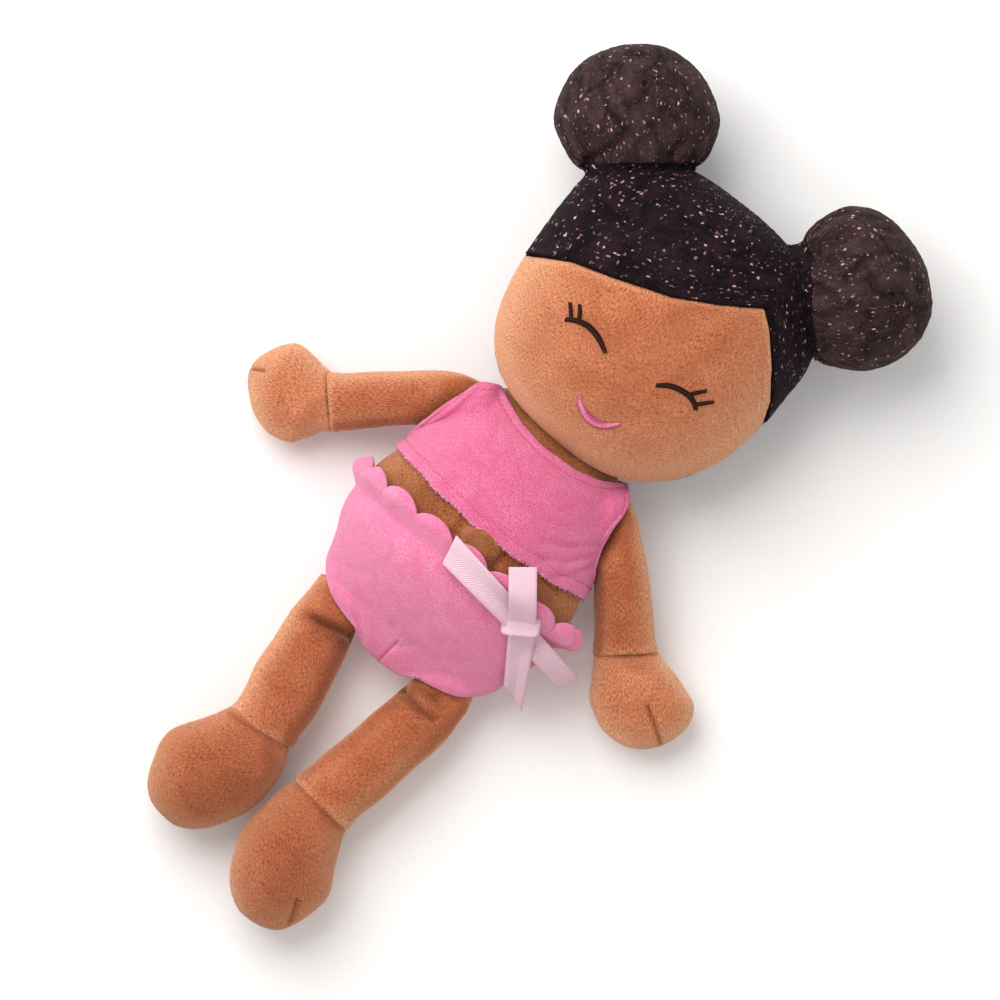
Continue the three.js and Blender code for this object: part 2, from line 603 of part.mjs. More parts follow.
function legOf(name, side, bunch) {
  const seamHeight = BOTTOM_SEAM.back + BOTTOM_SEAM.halfDepth;
  const root = new THREE.Vector3(side * LEG.rootX, BOTTOM_SEAM.y - LEG.pinch - SWING_GAP, seamHeight);
  const ankle = LEG.length - bunch;
  const inward = Math.asin((LEG.rootX - ANKLE_X) / ankle);
  const rise = (FOOT.halfDepth - FLOOR_PRESS - root.z) / (ankle + FOOT.length / 2);
  const ahead = new THREE.Vector3(-side * Math.sin(inward), -Math.cos(inward), rise).normalize();
  const levels = [
    [0, LEG.root, LEG.pinch],
    [5, LEG.root * 1.02, LEG.pinch + 2.6],
    [12, LEG.halfWidth * 0.96, LEG.halfDepth * 0.76],
    [22, LEG.halfWidth, LEG.halfDepth * 0.98],
    [ankle * 0.72, LEG.halfWidth, LEG.halfDepth],
    [ankle, LEG.halfWidth * 0.94, LEG.halfDepth * 0.95],
    [ankle + FOOT.length * 0.18, FOOT.halfWidth * 0.86, FOOT.halfDepth * 0.84],
    [ankle + FOOT.length * 0.46, FOOT.halfWidth, FOOT.halfDepth],
    [ankle + FOOT.length * 0.74, FOOT.halfWidth * 0.87, FOOT.halfDepth * 0.9],
    [ankle + FOOT.length * 0.92, FOOT.halfWidth * 0.55, FOOT.halfDepth * 0.58],
    [ankle + FOOT.length, FOOT.halfWidth * 0.2, FOOT.halfDepth * 0.2],
  ];
  const bend = side * (FOOT.toeOut + THREE.MathUtils.radToDeg(inward));
  return { name, root, ahead, bend, rootLine: ACROSS, levels, length: ankle, settle: 20 };
}

const rightArm = armOf('right', -1, RIGHT_ARM);
const leftArm = armOf('left', 1, LEFT_ARM);
const rightLeg = legOf('right', -1, RIGHT_LEG_BUNCH);
const leftLeg = legOf('left', 1, 0);
for (const arm of [rightArm, leftArm]) limbNodes(arm, 'arm', 'hand');
for (const leg of [rightLeg, leftLeg]) limbNodes(leg, 'leg', 'foot');

// Room that the head and the limbs need as they swing

const headSwing = headForm(SWING_GAP).subtract(neckForm(SWING_GAP / 2));
const nodRoom = swept(headSwing, neck, ACROSS, -NOD, NOD, 2);
let swingRoom = nodRoom;
for (const [arm, side] of [[rightArm, -1], [leftArm, 1]]) {
  const axis = arm.rootLine.clone().multiplyScalar(-side);
  const form = limbForm(arm, SWEEP_GAP, SWEEP_SIDES).add(seamRoll(arm, SWEEP_GAP));
  swingRoom = swingRoom.add(swept(form, arm.root, axis, -ARM_BACK, ARM_FORWARD, SWEEP_STEPS));
}
for (const leg of [rightLeg, leftLeg]) {
  const form = limbForm(leg, SWEEP_GAP, SWEEP_SIDES).add(seamRoll(leg, SWEEP_GAP));
  swingRoom = swingRoom.add(swept(form, leg.root, ACROSS, -LEG_FORWARD, LEG_BACK, SWEEP_STEPS));
}

// Body covers and stuffing

const bodySolid = bodyForm(0, 0).add(neckForm(0)).subtract(nodRoom);
const bodyInner = bodyForm(-PLUSH, -PLUSH).add(neckForm(-PLUSH));
const bodyShell = bodySolid.subtract(bodyInner);
node('torso_front_panel', trimmed(bodyShell.intersect(bodyFrontSpace)), cloth(SKIN));
node('torso_back_panel', trimmed(bodyShell.subtract(bodyBackSpace)), cloth(SKIN));
const bodyFill = bodyForm(fillInset, fillInset, BODY_SIDES / 2).add(neckForm(fillInset));
node('torso_stuffing', bodyFill.subtract(nodRoom), cloth(FIBREFILL));

const navelY = (TOP_HEM.y + SCALLOPS.crest) / 2;
const navelBase = new THREE.Vector3(NAVEL.x, navelY, bodyFront(NAVEL.x, navelY, 0));
const navelForm = ellipsoid(navelBase, NAVEL.halfWidth, NAVEL.halfHeight, NAVEL.rise, 10);
node('navel', navelForm.subtract(bodyForm(SEAM_GAP, 0)), cloth(SKIN));

// Top: a front and a back panel joined at the sides and on the shoulders

function topPrism() {
  const strapY = COLLAR.y + 3;
  const strapOuter = NECKLINE.halfWidth + STRAP;
  const armholeX = bodyAt(ARM.rootY).a - ARMHOLE_DEPTH;
  const sideY = TOP_HEM.y + TOP_HEM.sideRise;
  const shape = new THREE.Shape();
  shape.moveTo(-FAR / 2, sideY);
  shape.lineTo(-BELLY.halfWidth, sideY);
  shape.quadraticCurveTo(0, TOP_HEM.y - TOP_HEM.sideRise, BELLY.halfWidth, sideY);
  shape.lineTo(FAR / 2, sideY);
  shape.lineTo(FAR / 2, UNDERARM_Y);
  shape.quadraticCurveTo(armholeX, UNDERARM_Y, armholeX, ARM.rootY);
  shape.lineTo(strapOuter, strapY);
  shape.lineTo(NECKLINE.halfWidth, strapY);
  shape.quadraticCurveTo(0, strapY - 2 * NECKLINE.drop, -NECKLINE.halfWidth, strapY);
  shape.lineTo(-strapOuter, strapY);
  shape.lineTo(-armholeX, ARM.rootY);
  shape.quadraticCurveTo(-armholeX, UNDERARM_Y, -FAR / 2, UNDERARM_Y);
  return prism(shape);
}

const topShell = bodyForm(TOP_EASE + VELOUR, 1).subtract(bodyForm(TOP_EASE, 4)).intersect(topPrism());
const topFitted = topShell.subtract(swingRoom).subtract(floor).subtract(neckForm(TOP_EASE));
node('top_front_panel', trimmed(topFitted.intersect(bodyFrontSpace)), cloth(PINK));
node('top_back_panel', trimmed(topFitted.subtract(bodyBackSpace)), cloth(PINK));

// Bottoms: gathered on elastic, with a scalloped frill above it that stands off the belly

const elasticTop = WAIST.y + ELASTIC.width / 2;

function frill(grow) {
  return (y, angle) => {
    const out = THREE.MathUtils.smoothstep(y, elasticTop, SCALLOPS.crest);
    const pressed = THREE.MathUtils.smoothstep(Math.sin(angle), -0.5, 0);
    return grow + FRILL_FLARE * out * pressed;
  };
}

function bottomsPrism() {
  const pitch = (2 * SCALLOPS.halfSpan) / SCALLOPS.across;
  const valley = SCALLOPS.crest - SCALLOPS.depth;
  const shape = new THREE.Shape();
  shape.moveTo(-FAR / 2, -FAR / 2);
  shape.lineTo(FAR / 2, -FAR / 2);
  shape.lineTo(FAR / 2, valley + SCALLOPS.sideRise);
  for (let i = 0; i <= SCALLOPS.across; i++) {
    const x = SCALLOPS.halfSpan - pitch * i;
    const rise = SCALLOPS.sideRise * (x / SCALLOPS.halfSpan) ** 2;
    const before = SCALLOPS.sideRise * ((x + pitch / 2) / SCALLOPS.halfSpan) ** 2;
    const crest = valley + before + 2 * SCALLOPS.depth;
    if (i === 0) shape.lineTo(x, valley + rise);
    else shape.quadraticCurveTo(x + pitch / 2, crest, x, valley + rise);
  }
  shape.lineTo(-FAR / 2, valley + SCALLOPS.sideRise);
  return prism(shape);
}

function legHole(side) {
  const shape = new THREE.Shape();
  shape.moveTo(side * LEG_HOLE.innerX, -FAR / 2);
  shape.lineTo(side * LEG_HOLE.innerX, LEG_HOLE.innerY);
  shape.quadraticCurveTo(side * LEG_HOLE.outerX * 0.85, LEG_HOLE.innerY * 0.97,
    side * LEG_HOLE.outerX, LEG_HOLE.outerY);
  shape.lineTo(side * FAR / 2, LEG_HOLE.outerY + 4);
  shape.lineTo(side * FAR / 2, -FAR / 2);
  return prism(shape);
}

const bottomsShell = bodyForm(frill(BOTTOMS_EASE + VELOUR), BOTTOMS_EASE + VELOUR)
  .subtract(bodyForm(frill(BOTTOMS_EASE), BOTTOMS_EASE))
  .intersect(bottomsPrism())
  .subtract(legHole(-1))
  .subtract(legHole(1))
  .subtract(swingRoom)
  .subtract(floor);
node('bottoms_front_panel', trimmed(bottomsShell.intersect(bodyFrontSpace)), cloth(PINK));
node('bottoms_back_panel', trimmed(bottomsShell.subtract(bodyBackSpace)), cloth(PINK));

const elasticBand = box(-FAR, elasticTop - ELASTIC.width, -FAR, FAR, elasticTop, FAR);
const elasticRing = bodyForm(SEAM_GAP + ELASTIC.thickness, 0).subtract(bodyForm(SEAM_GAP, 0));
node('waist_elastic', elasticRing.intersect(elasticBand), cloth(0xf4f0ee));

// Bow: two loops, two tails and the knot, all of one tape laid over the front of the bottoms

// Height of the tape at a point of the plan view; past the side of the body it hangs out in a droop
function tapeHeight(x, y, rise, drop) {
  const edge = Math.min(Math.abs(x), bodyAt(y).a * SIDE_REACH);
  const beyond = Math.abs(x) - edge;
  const clothHeight = bodyFront(edge, y, frill(BOTTOMS_EASE + VELOUR + SEAM_GAP));
  return clothHeight + rise - drop * (beyond / BOW_TAPE) ** 2;
}

const TAPE_SEAT = TAPE / 2 + 3 * SEAM_GAP;
const TAPE_LAYER = TAPE + SEAM_GAP;
const TAPE_UNDERSIDE = 2;

// Strip from the knot to its end, gathered in the knot, through stops that each give how far along it they
// are, their rise above the cloth below and how far the tape has turned over there
function tapeStrip(end, stops) {
  const reach = Math.hypot(end.x - KNOT.x, end.y - KNOT.y);
  const ahead = new THREE.Vector2((end.x - KNOT.x) / reach, (end.y - KNOT.y) / reach);
  const rings = stops.map(({ along, rise, turn }) => {
    const spread = THREE.MathUtils.smoothstep(reach * along, 0, BOW_TAPE);
    const half = (THREE.MathUtils.lerp(KNOT_GATHER, 1, spread) * BOW_TAPE) / 2;
    const corner = (s, t) => {
      const forward = reach * along + (TAPE_LAYER - (t * TAPE) / 2) * Math.sin(turn);
      const x = KNOT.x + ahead.x * forward - ahead.y * s * half;
      const y = KNOT.y + ahead.y * forward + ahead.x * s * half;
      const height = TAPE_SEAT + TAPE_LAYER * end.layer + rise + (t * TAPE * Math.cos(turn)) / 2;
      return new THREE.Vector3(x, y, tapeHeight(x, y, height, end.drop));
    };
    return [corner(1, 1), corner(-1, 1), corner(-1, -1), corner(1, -1)];
  });
  return skinThrough(rings, false, [TAPE_UNDERSIDE]);
}

function bowTail(end) {
  const stops = [];
  for (let i = 0; i <= TAPE_STEPS; i++) stops.push({ along: i / TAPE_STEPS, rise: 0, turn: 0 });
  return tapeStrip(end, stops);
}

// A loop runs out along the cloth, turns over at its end and comes back over itself
function bowLoop(end) {
  const stops = [];
  for (let i = 0; i <= TAPE_STEPS; i++) stops.push({ along: i / TAPE_STEPS, rise: 0, turn: 0 });
  for (let i = 1; i < FOLD_STEPS; i++) {
    const turn = (Math.PI * i) / FOLD_STEPS;
    stops.push({ along: 1, rise: TAPE_LAYER * (1 - Math.cos(turn)), turn });
  }
  for (let i = TAPE_STEPS; i >= 0; i--) {
    const along = i / TAPE_STEPS;
    const rise = 2 * TAPE_LAYER + LOOP_RISE * Math.sin(Math.PI * along);
    stops.push({ along, rise, turn: Math.PI });
  }
  return tapeStrip(end, stops);
}

const knotHeight = tapeHeight(KNOT.x, KNOT.y, TAPE_SEAT + KNOT.thickness / 2, 0);
const knotForm = solidOf(
  new THREE.SphereGeometry(1, 10, 6)
    .scale(KNOT.length / 2, KNOT.width / 2, KNOT.thickness / 2)
    .rotateY(THREE.MathUtils.degToRad(KNOT.lean))
    .translate(KNOT.x, KNOT.y, knotHeight),
);
const bow = bowLoop(LONG_LOOP).add(bowLoop(SHORT_LOOP)).add(bowTail(SIDE_TAIL)).add(bowTail(LOW_TAIL));
node('ribbon_bow', trimmed(bow.add(knotForm)), cloth(PALE_PINK, 0.8));

export default group;
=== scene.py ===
import math

import bmesh
import bpy
import numpy as np
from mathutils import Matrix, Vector, noise


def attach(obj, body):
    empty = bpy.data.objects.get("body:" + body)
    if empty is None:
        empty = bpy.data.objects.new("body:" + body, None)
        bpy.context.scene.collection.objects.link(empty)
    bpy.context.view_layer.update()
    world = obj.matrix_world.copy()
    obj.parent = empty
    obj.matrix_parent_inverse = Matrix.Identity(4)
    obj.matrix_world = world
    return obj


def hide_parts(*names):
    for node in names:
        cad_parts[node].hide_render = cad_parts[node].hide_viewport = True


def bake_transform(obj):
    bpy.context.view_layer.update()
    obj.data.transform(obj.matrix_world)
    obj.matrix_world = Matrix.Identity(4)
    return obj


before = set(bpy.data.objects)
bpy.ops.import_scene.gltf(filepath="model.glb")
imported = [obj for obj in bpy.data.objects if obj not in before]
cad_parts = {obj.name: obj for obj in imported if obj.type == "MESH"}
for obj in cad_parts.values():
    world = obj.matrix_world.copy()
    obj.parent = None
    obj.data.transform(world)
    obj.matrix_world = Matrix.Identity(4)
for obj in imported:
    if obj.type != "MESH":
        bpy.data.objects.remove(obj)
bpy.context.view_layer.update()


# Body cover
# Two panels of skin-brown minky plush, sewn at the sides and along the bottom and stuffed with fibrefill.
# It is fullest at the belly, is pressed flat where the doll lies on it, and ends in a short neck stub.


def linear(code):
    """Linear RGBA of an sRGB hex colour."""
    parts = [int(code[i : i + 2], 16) / 255 for i in (1, 3, 5)]
    return [c / 12.92 if c <= 0.04045 else ((c + 0.055) / 1.055) ** 2.4 for c in parts] + [1.0]


def add(tree, kind, inputs, **settings):
    """Adds a shader node of a kind to a tree with its settings, and sets or links its inputs."""
    node = tree.nodes.new("ShaderNode" + kind)
    for name, value in settings.items():
        setattr(node, name, value)
    for name, value in inputs.items():
        if isinstance(value, bpy.types.NodeSocket):
            tree.links.new(value, node.inputs[name])
        else:
            node.inputs[name].default_value = value
    return node


def new_finish(name, constants):
    """A material whose shader has the given constant settings, with its node tree and shader."""
    material = bpy.data.materials.new(name)
    material.use_nodes = True
    tree = material.node_tree
    tree.nodes.clear()
    shader = add(tree, "BsdfPrincipled", constants)
    add(tree, "OutputMaterial", {"Surface": shader.outputs["BSDF"]})
    return material, tree, shader


def brushed_pile(tree, patch, stroke, sway=None):
    """Pattern of a cut pile: the map that it lies on, its brushed patches and its strokes.

    A patch is its size in millimetres and its noise settings, a stroke is its width, its length and its noise
    settings, and the sway is how far apart and how far to the side the strokes bend.
    """
    pile = add(tree, "UVMap", {}, uv_map="pile").outputs["UV"]
    size, look = patch
    patches = add(tree, "TexNoise", {"Vector": pile, "Scale": 1 / size, **look}, noise_dimensions="2D")
    lay = pile
    if sway:
        apart, reach = sway
        bend = add(tree, "TexNoise", {"Vector": pile, "Scale": 1 / apart, "Detail": 1.0}, noise_dimensions="2D")
        lay = add(
            tree, "VectorMath", {0: bend.outputs["Color"], 1: (reach, reach, 0), 2: pile}, operation="MULTIPLY_ADD"
        ).outputs["Vector"]
    width, length, look = stroke
    scaled = add(tree, "VectorMath", {0: lay, 1: (1 / width, 1 / length, 0)}, operation="MULTIPLY")
    strokes = add(
        tree, "TexNoise", {"Vector": scaled.outputs["Vector"], "Scale": 1.0, **look}, noise_dimensions="2D"
    )
    return pile, patches.outputs["Fac"], strokes.outputs["Fac"]


def minky(name, dark, light, flank):
    """Skin-brown plush: the two tones of its brushed patches, and the paler tone of its painted sheen where it
    curves away.
    """
    material, tree, shader = new_finish(
        name,
        {
            "Roughness": 0.9,
            "Specular IOR Level": 0.08,
            "Sheen Weight": 0.7,
            "Sheen Roughness": 0.45,
            "Sheen Tint": linear("#FFD4B0"),
        },
    )
    patches, strokes = brushed_pile(
        tree,
        (15, {"Detail": 2.5, "Roughness": 0.55, "Distortion": 0.5}),
        (0.46, 1.4, {"Detail": 1.5, "Roughness": 0.5}),
        sway=(14, 4),
    )[1:]
    patch_tone = add(tree, "MapRange", {"Value": patches, "From Min": 0.32, "From Max": 0.68}).outputs["Result"]
    stroke_tone = add(tree, "MapRange", {"Value": strokes, "From Min": 0.28, "From Max": 0.66}).outputs["Result"]
    stroke_shade = add(
        tree, "Mix", {0: stroke_tone, 6: linear("#BEA092"), 7: linear("#FFFFFF")}, data_type="RGBA"
    ).outputs[2]
    colour = add(tree, "Mix", {0: patch_tone, 6: linear(dark), 7: linear(light)}, data_type="RGBA").outputs[2]
    # Where the surface turns away it is painted towards the flank tone, as painted sheen, and where the values fall
    # below nothing, along folds and seams, it is painted deep brown, as painted shade
    turned = add(tree, "Attribute", {}, attribute_name="turned").outputs["Fac"]
    away = add(tree, "MapRange", {"Value": turned, "From Min": 0.05, "From Max": 0.42, "To Max": 0.8})
    painted_shade = add(tree, "MapRange", {"Value": turned, "From Min": 0.0, "From Max": -1.0})
    for share, tone in ((away, flank), (painted_shade, "#6A3820")):
        colour = add(
            tree, "Mix", {0: share.outputs["Result"], 6: colour, 7: linear(tone)}, data_type="RGBA"
        ).outputs[2]
    colour = add(
        tree, "Mix", {0: 1.0, 6: colour, 7: stroke_shade}, data_type="RGBA", blend_type="MULTIPLY"
    ).outputs[2]
    tree.links.new(colour, shader.inputs["Base Color"])
    nap = add(tree, "Bump", {"Height": strokes, "Strength": 0.8, "Distance": 0.0004}).outputs["Normal"]
    tree.links.new(nap, shader.inputs["Normal"])
    return material


# Minky plush: a knitted backing with a dense cut pile under 2 mm long. The pile gives a matt, pebbly face of
# short strokes about 0.5 by 1.4 mm, in brushed patches 10 to 20 mm across. Where the stuffed cloth curves away
# it is painted paler, as painted sheen, and along folds and seams it is painted deep brown, as painted shade.
skin_plush = minky("minky plush, skin brown", "#BF724C", "#D1845D", "#F2B38A")

# On the body the clothes rub the pile flat, which shows darker and streakier; the darker tones are also painted
# shade, for the belly and neck that lie in the shade of the clothes and the chin
shaded_rubbed_plush = minky("minky plush, skin brown, rubbed, painted shade", "#945634", "#B26E46", "#C4845A")

# Down the arms and legs the nap points to the hands and feet and shows a shade deeper
limb_plush = minky("minky plush, skin brown, nap down the limb", "#B86A46", "#CA7C57", "#ECAC83")

# On the feet the nap points to the toes, so it is looked into and shows deeper
foot_plush = minky("minky plush, skin brown, nap to the toes", "#AC6242", "#C0724E", "#CC8660")


def through(stations, at):
    """Smooth values at the given places through rows of (place, value, value, ...)."""
    table = np.asarray(stations, float)
    place, value = table[:, 0], table[:, 1:]
    slope = np.gradient(value, place, axis=0)
    at = np.clip(np.asarray(at, float), place[0], place[-1])
    i = np.clip(np.searchsorted(place, at) - 1, 0, len(place) - 2)
    gap = (place[i + 1] - place[i])[..., None]
    t = (at - place[i])[..., None] / gap
    return (
        value[i] * (1 + 2 * t) * (1 - t) ** 2
        + slope[i] * gap * t * (1 - t) ** 2
        + value[i + 1] * t**2 * (3 - 2 * t)
        + slope[i + 1] * gap * t**2 * (t - 1)
    )


def unit(vectors):
    """Vectors brought to a length of one."""
    return vectors / np.maximum(np.linalg.norm(vectors, axis=-1, keepdims=True), 1e-9)


def facing(rows, closed=False):
    """Unit normals of a grid of points, outwards where its columns run anticlockwise seen along its rows."""
    across = np.roll(rows, -1, 1) - np.roll(rows, 1, 1) if closed else np.gradient(rows, axis=1)
    normal = unit(np.cross(np.gradient(rows, axis=0), across))
    if closed and ((rows - rows.mean(axis=1, keepdims=True)) * normal).sum() < 0:
        normal = -normal
    return normal


def uneven(rows, normal, *lumps):
    """Pushes lumps of stuffing or pile out along the normals, each given as (size, height, seed)."""
    for size, height, seed in lumps:
        shift = Vector((seed * 17.3, seed * 5.1, seed * 9.7))
        lift = np.array([noise.noise(Vector(p) + shift) for p in (rows / size).reshape(-1, 3).tolist()])
        rows = rows + normal * (height * lift).reshape(rows.shape[:2])[..., None]
    return rows


def line_distance(rows, path):
    """How far each point of a grid is, in the plan view, from a path of plan points."""
    best = np.full(rows.shape[:2], 1e9)
    for (ax, ay), (bx, by) in zip(path[:-1], path[1:]):
        run = np.array([bx - ax, by - ay])
        part = np.clip(((rows[..., :2] - (ax, ay)) @ run) / (run @ run), 0, 1)
        best = np.minimum(best, np.linalg.norm(rows[..., :2] - (ax, ay) - part[..., None] * run, axis=2))
    return best


def near(off, width):
    """A share that is one in the middle of a fold or seam and falls away within its width."""
    return np.exp(-((off / width) ** 2))


def creased(rows, normal, folds):
    """Presses folds into the upper side of a skin, each given as (path of plan points, depth, width)."""
    upper = np.clip(3 * normal[..., 2], 0, 1)
    for path, depth, width in folds:
        press = depth * near(line_distance(rows, path), width) * upper
        rows = rows - normal * press[..., None]
    return rows


# How many cells of a grid its turning away is evened out over
softening = 8


def grid_piece(name, grids, materials, closed=True, back_from=None, by_grid=False, pole=False, painted_shade=()):
    """Mesh through grids of points in millimetres.

    The map named pile holds millimetres along each grid, or out from the last grid's far end where that is a
    pole. The values named turned hold how far the surface curves away, which the plush shows as painted sheen, or
    less than nothing along paths of painted shade in folds and seams, given as (path, depth of shade, width).
    """
    points, quads, places, slots, turned, start = [], [], [], [], [], 0
    for place, rows in enumerate(grids):
        count, around = rows.shape[:2]
        r, c = np.meshgrid(np.arange(count - 1), np.arange(around if closed else around - 1), indexing="ij")
        right = (c + 1) % around
        corners = [r * around + c, r * around + right, (r + 1) * around + right, (r + 1) * around + c]
        ring = np.concatenate([rows, rows[:, :1]], axis=1) if closed else rows
        across = np.quantile(np.linalg.norm(np.diff(ring, axis=1), axis=2), 0.8, axis=0)
        along = np.quantile(np.linalg.norm(np.diff(rows, axis=0), axis=2), 0.8, axis=1)
        u, v = np.concatenate([[0], np.cumsum(across)]), np.concatenate([[0], np.cumsum(along)])
        stops = [(u[c], v[r]), (u[c + 1], v[r]), (u[c + 1], v[r + 1]), (u[c], v[r + 1])]
        if pole and place == len(grids) - 1:
            spin = np.linspace(0, 2 * np.pi, around + 1)
            left, right_edge, outer, nearer = spin[c], spin[c + 1], (v[-1] - v)[r], (v[-1] - v)[r + 1]
            stops = [
                (out * np.cos(way), out * np.sin(way))
                for out, way in ((outer, left), (outer, right_edge), (nearer, right_edge), (nearer, left))
            ]
        places.append(np.stack([np.stack(p, -1) for p in stops], 2).reshape(-1, 2))
        quads.append(start + np.stack(corners, -1).reshape(-1, 4))
        inner = (r > 0) & (r < count - 2)
        slots.append(((c >= back_from) & inner if back_from else np.full_like(c, place if by_grid else 0)).ravel())
        points.append(rows.reshape(-1, 3))
        # How far each point turns from facing up or down, evened out over the grid: the plush pales to a painted
        # sheen by it
        upward = facing(rows, closed)[..., 2]
        away = np.pad(1 - np.abs(upward), ((softening, softening), (0, 0)), mode="edge")
        sides = "wrap" if closed and around > softening else "edge"
        away = np.pad(away, ((0, 0), (softening, softening)), mode=sides)
        for _ in range(softening):
            away = (np.roll(away, 1, 0) + np.roll(away, -1, 0) + np.roll(away, 1, 1) + np.roll(away, -1, 1)) / 4
        away = away[softening:-softening, softening:-softening]
        # Along the given paths the values drop, below nothing in the middle, for painted shade in folds and seams
        for path, shade, width in painted_shade:
            away = away - shade * near(line_distance(rows, path), width) * (upward > 0)
        turned.append(away.ravel())
        start += count * around
    mesh = bpy.data.meshes.new(name)
    mesh.from_pydata((np.concatenate(points) / 1000).tolist(), [], np.concatenate(quads).tolist())
    layer = mesh.uv_layers.new(name="pile")
    layer.uv.foreach_set("vector", np.concatenate(places).astype(np.float32).ravel())
    mesh.polygons.foreach_set("material_index", np.concatenate(slots).astype(np.int32))
    mesh.attributes.new("turned", "FLOAT", "POINT").data.foreach_set("value", np.concatenate(turned))
    for material in materials:
        mesh.materials.append(material)
    work = bmesh.new()
    work.from_mesh(mesh)
    bmesh.ops.remove_doubles(work, verts=work.verts, dist=1e-6)
    bmesh.ops.recalc_face_normals(work, faces=work.faces)
    work.to_mesh(mesh)
    work.free()
    mesh.shade_smooth()
    made = bpy.data.objects.new(name, mesh)
    bpy.context.scene.collection.objects.link(made)
    return made


# Body levels: place along the body, half width, half depth and how high the back lies, in millimetres
body_levels = [
    (-67.5, 22, 1.0, 18), (-66.5, 26, 3, 16), (-58.5, 35.0, 12.5, 7.5), (-43.5, 40.8, 24, 2.1),
    (-36, 43.9, 27.6, 2.0), (-26.5, 45.9, 30, 2.1), (-13, 46.4, 31, 2.1), (-4, 43.6, 30.2, 1.9),
    (5.5, 40.4, 28.5, 1.2), (22.5, 37, 22.5, 4), (35.5, 30.5, 13.5, 11.5), (41, 23, 12.2, 12.8),
    (47, 18, 10.5, 14.5), (50.5, 8, 5, 20),
]
side_seam_edge = 1.3


def body_section(y, grow):
    """Half width, half depth and middle height of the body at places along it, grown by a thickness."""
    half_width, half_depth, back = np.moveaxis(through(body_levels, y), -1, 0)
    return half_width + grow, half_depth + grow, back + half_depth


def squared(wave, power):
    """A sine or cosine made squarer, or sharper where the power is over one, with its sign kept."""
    return np.sign(wave) * np.abs(wave) ** power


def body_points(y, angle, grow, edge=side_seam_edge):
    """Points round the body; the angle starts at the doll's left side seam and runs over the front."""
    half_width, half_depth, middle = body_section(y, grow)
    rise = squared(np.sin(angle), edge)
    # Below the waist the body lies a little to the doll's left
    lean = np.interp(y, [-52, -30], [0.9, 0])
    return np.stack([half_width * np.cos(angle) + lean, y + 0 * angle, middle + half_depth * rise], axis=-1)


belly_folds = [
    ([(-7.5, -6), (-8.2, -11), (-7.2, -15), (-9.5, -21)], 2.2, 1.6),
    ([(11.5, -6), (12.2, -11), (11.2, -15), (13, -21)], 2.2, 1.6),
    ([(-20, -11.5), (-9, -13.5)], 0.7, 1.6),
    ([(13, -13.5), (24, -11)], 0.7, 1.6),
]
y, angle = np.meshgrid(
    np.linspace(body_levels[0][0], body_levels[-1][0], 110),
    np.linspace(0, 2 * np.pi, 240, endpoint=False),
    indexing="ij",
)
rows = body_points(y, angle, 0)
normal = facing(rows, closed=True)
rows = creased(uneven(rows, normal, (9, 0.25, 1)), normal, belly_folds)
rows = np.concatenate([rows[:1] * 0 + rows[0].mean(0), rows, rows[:1] * 0 + rows[-1].mean(0)])
body_cover = grid_piece("body_plush", [rows], [shaded_rubbed_plush])
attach(body_cover, "torso")
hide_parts("torso_front_panel", "torso_back_panel", "torso_stuffing")


# Navel
# A stuffed nub of the same plush in the middle of the belly, pinched up with a few hidden stitches at its
# two sides, between the hem of the top and the frill of the bottoms.


def capped(rows):
    """Draws the first and last rings of a skin together to a point."""
    rows = rows.copy()
    rows[0], rows[-1] = rows[0].mean(0), rows[-1].mean(0)
    return rows


navel_at, navel_half, navel_sunk, navel_droop = (1.8, -13.2), (8.3, 6.2, 4.6), 1.2, 0.02
navel_height = body_points(np.array(navel_at[1]), np.array(math.pi / 2), 0)[2] - navel_sunk
tilt, turn = np.meshgrid(
    np.linspace(-np.pi / 2, np.pi / 2, 24), np.linspace(0, 2 * np.pi, 40, endpoint=False), indexing="ij"
)
across = navel_half[0] * np.cos(tilt) * squared(np.cos(turn), 0.75)
rows = np.stack(
    [
        navel_at[0] + across,
        navel_at[1] + navel_half[1] * np.cos(tilt) * np.sin(turn),
        navel_height + navel_half[2] * np.sin(tilt) - navel_droop * across**2,
    ],
    axis=-1,
)
rows = uneven(rows, facing(rows, closed=True), (5, 0.3, 2))
navel = grid_piece("navel_nub", [capped(rows)], [shaded_rubbed_plush])
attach(navel, "torso")
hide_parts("navel")


# Legs and feet
# Each leg is a stuffed tube of the plush, sewn flat into the bottom seam, so that it swings there. The foot is
# a rounded bag of its own, sewn to the leg's end all round: the leg's edge lies over it like a cuff.


def run_along(points):
    """Length from the first point to each of a line of points, or down each column of a grid."""
    steps = np.linalg.norm(np.diff(points, axis=0), axis=-1)
    return np.concatenate([np.zeros_like(steps[:1]), np.cumsum(steps, axis=0)])


def limb_rows(start, ahead, stations, step, around=96):
    """Rings of a limb from stations of (along, shift, half width, half depth, height of its middle)."""
    table = np.asarray(stations, float)
    run = run_along(table[:, [0, 2]])
    along, shift, half, deep, height = np.moveaxis(
        through(np.column_stack([run, table]), np.arange(0, run[-1], step)), -1, 0
    )
    angle = np.linspace(0, 2 * np.pi, around, endpoint=False)
    left = np.array([-ahead[1], ahead[0]])
    middle = np.array(start) + along[:, None] * np.array(ahead) + shift[:, None] * left
    half, deep = np.maximum(half, 0.01)[:, None], np.maximum(deep, 0.01)[:, None]
    plan = middle[:, None] + (half * np.cos(angle))[..., None] * left
    return np.concatenate([plan, (height[:, None] + deep * np.sin(angle))[..., None]], axis=2)


def turned_in(stations, hem):
    """Stations of a limb with its far edge turned in, by (onwards, inwards) steps from the last station."""
    along, shift, half, deep, height = stations[-1]
    return stations + [(along + on, shift, half - inward, deep - inward, height) for on, inward in hem]


def end_seam(start, ahead, last, lean=0.0):
    """Plan points of the seam round a limb's end, from its last station and how far the seam leans."""
    start, ahead = np.array(start), np.array(ahead)
    left = np.array([-ahead[1], ahead[0]])
    outs = [last[1] + part * last[2] for part in (-1, 0, 1)]
    return [tuple(start + (last[0] + 0.7 + lean * out) * ahead + out * left) for out in outs]


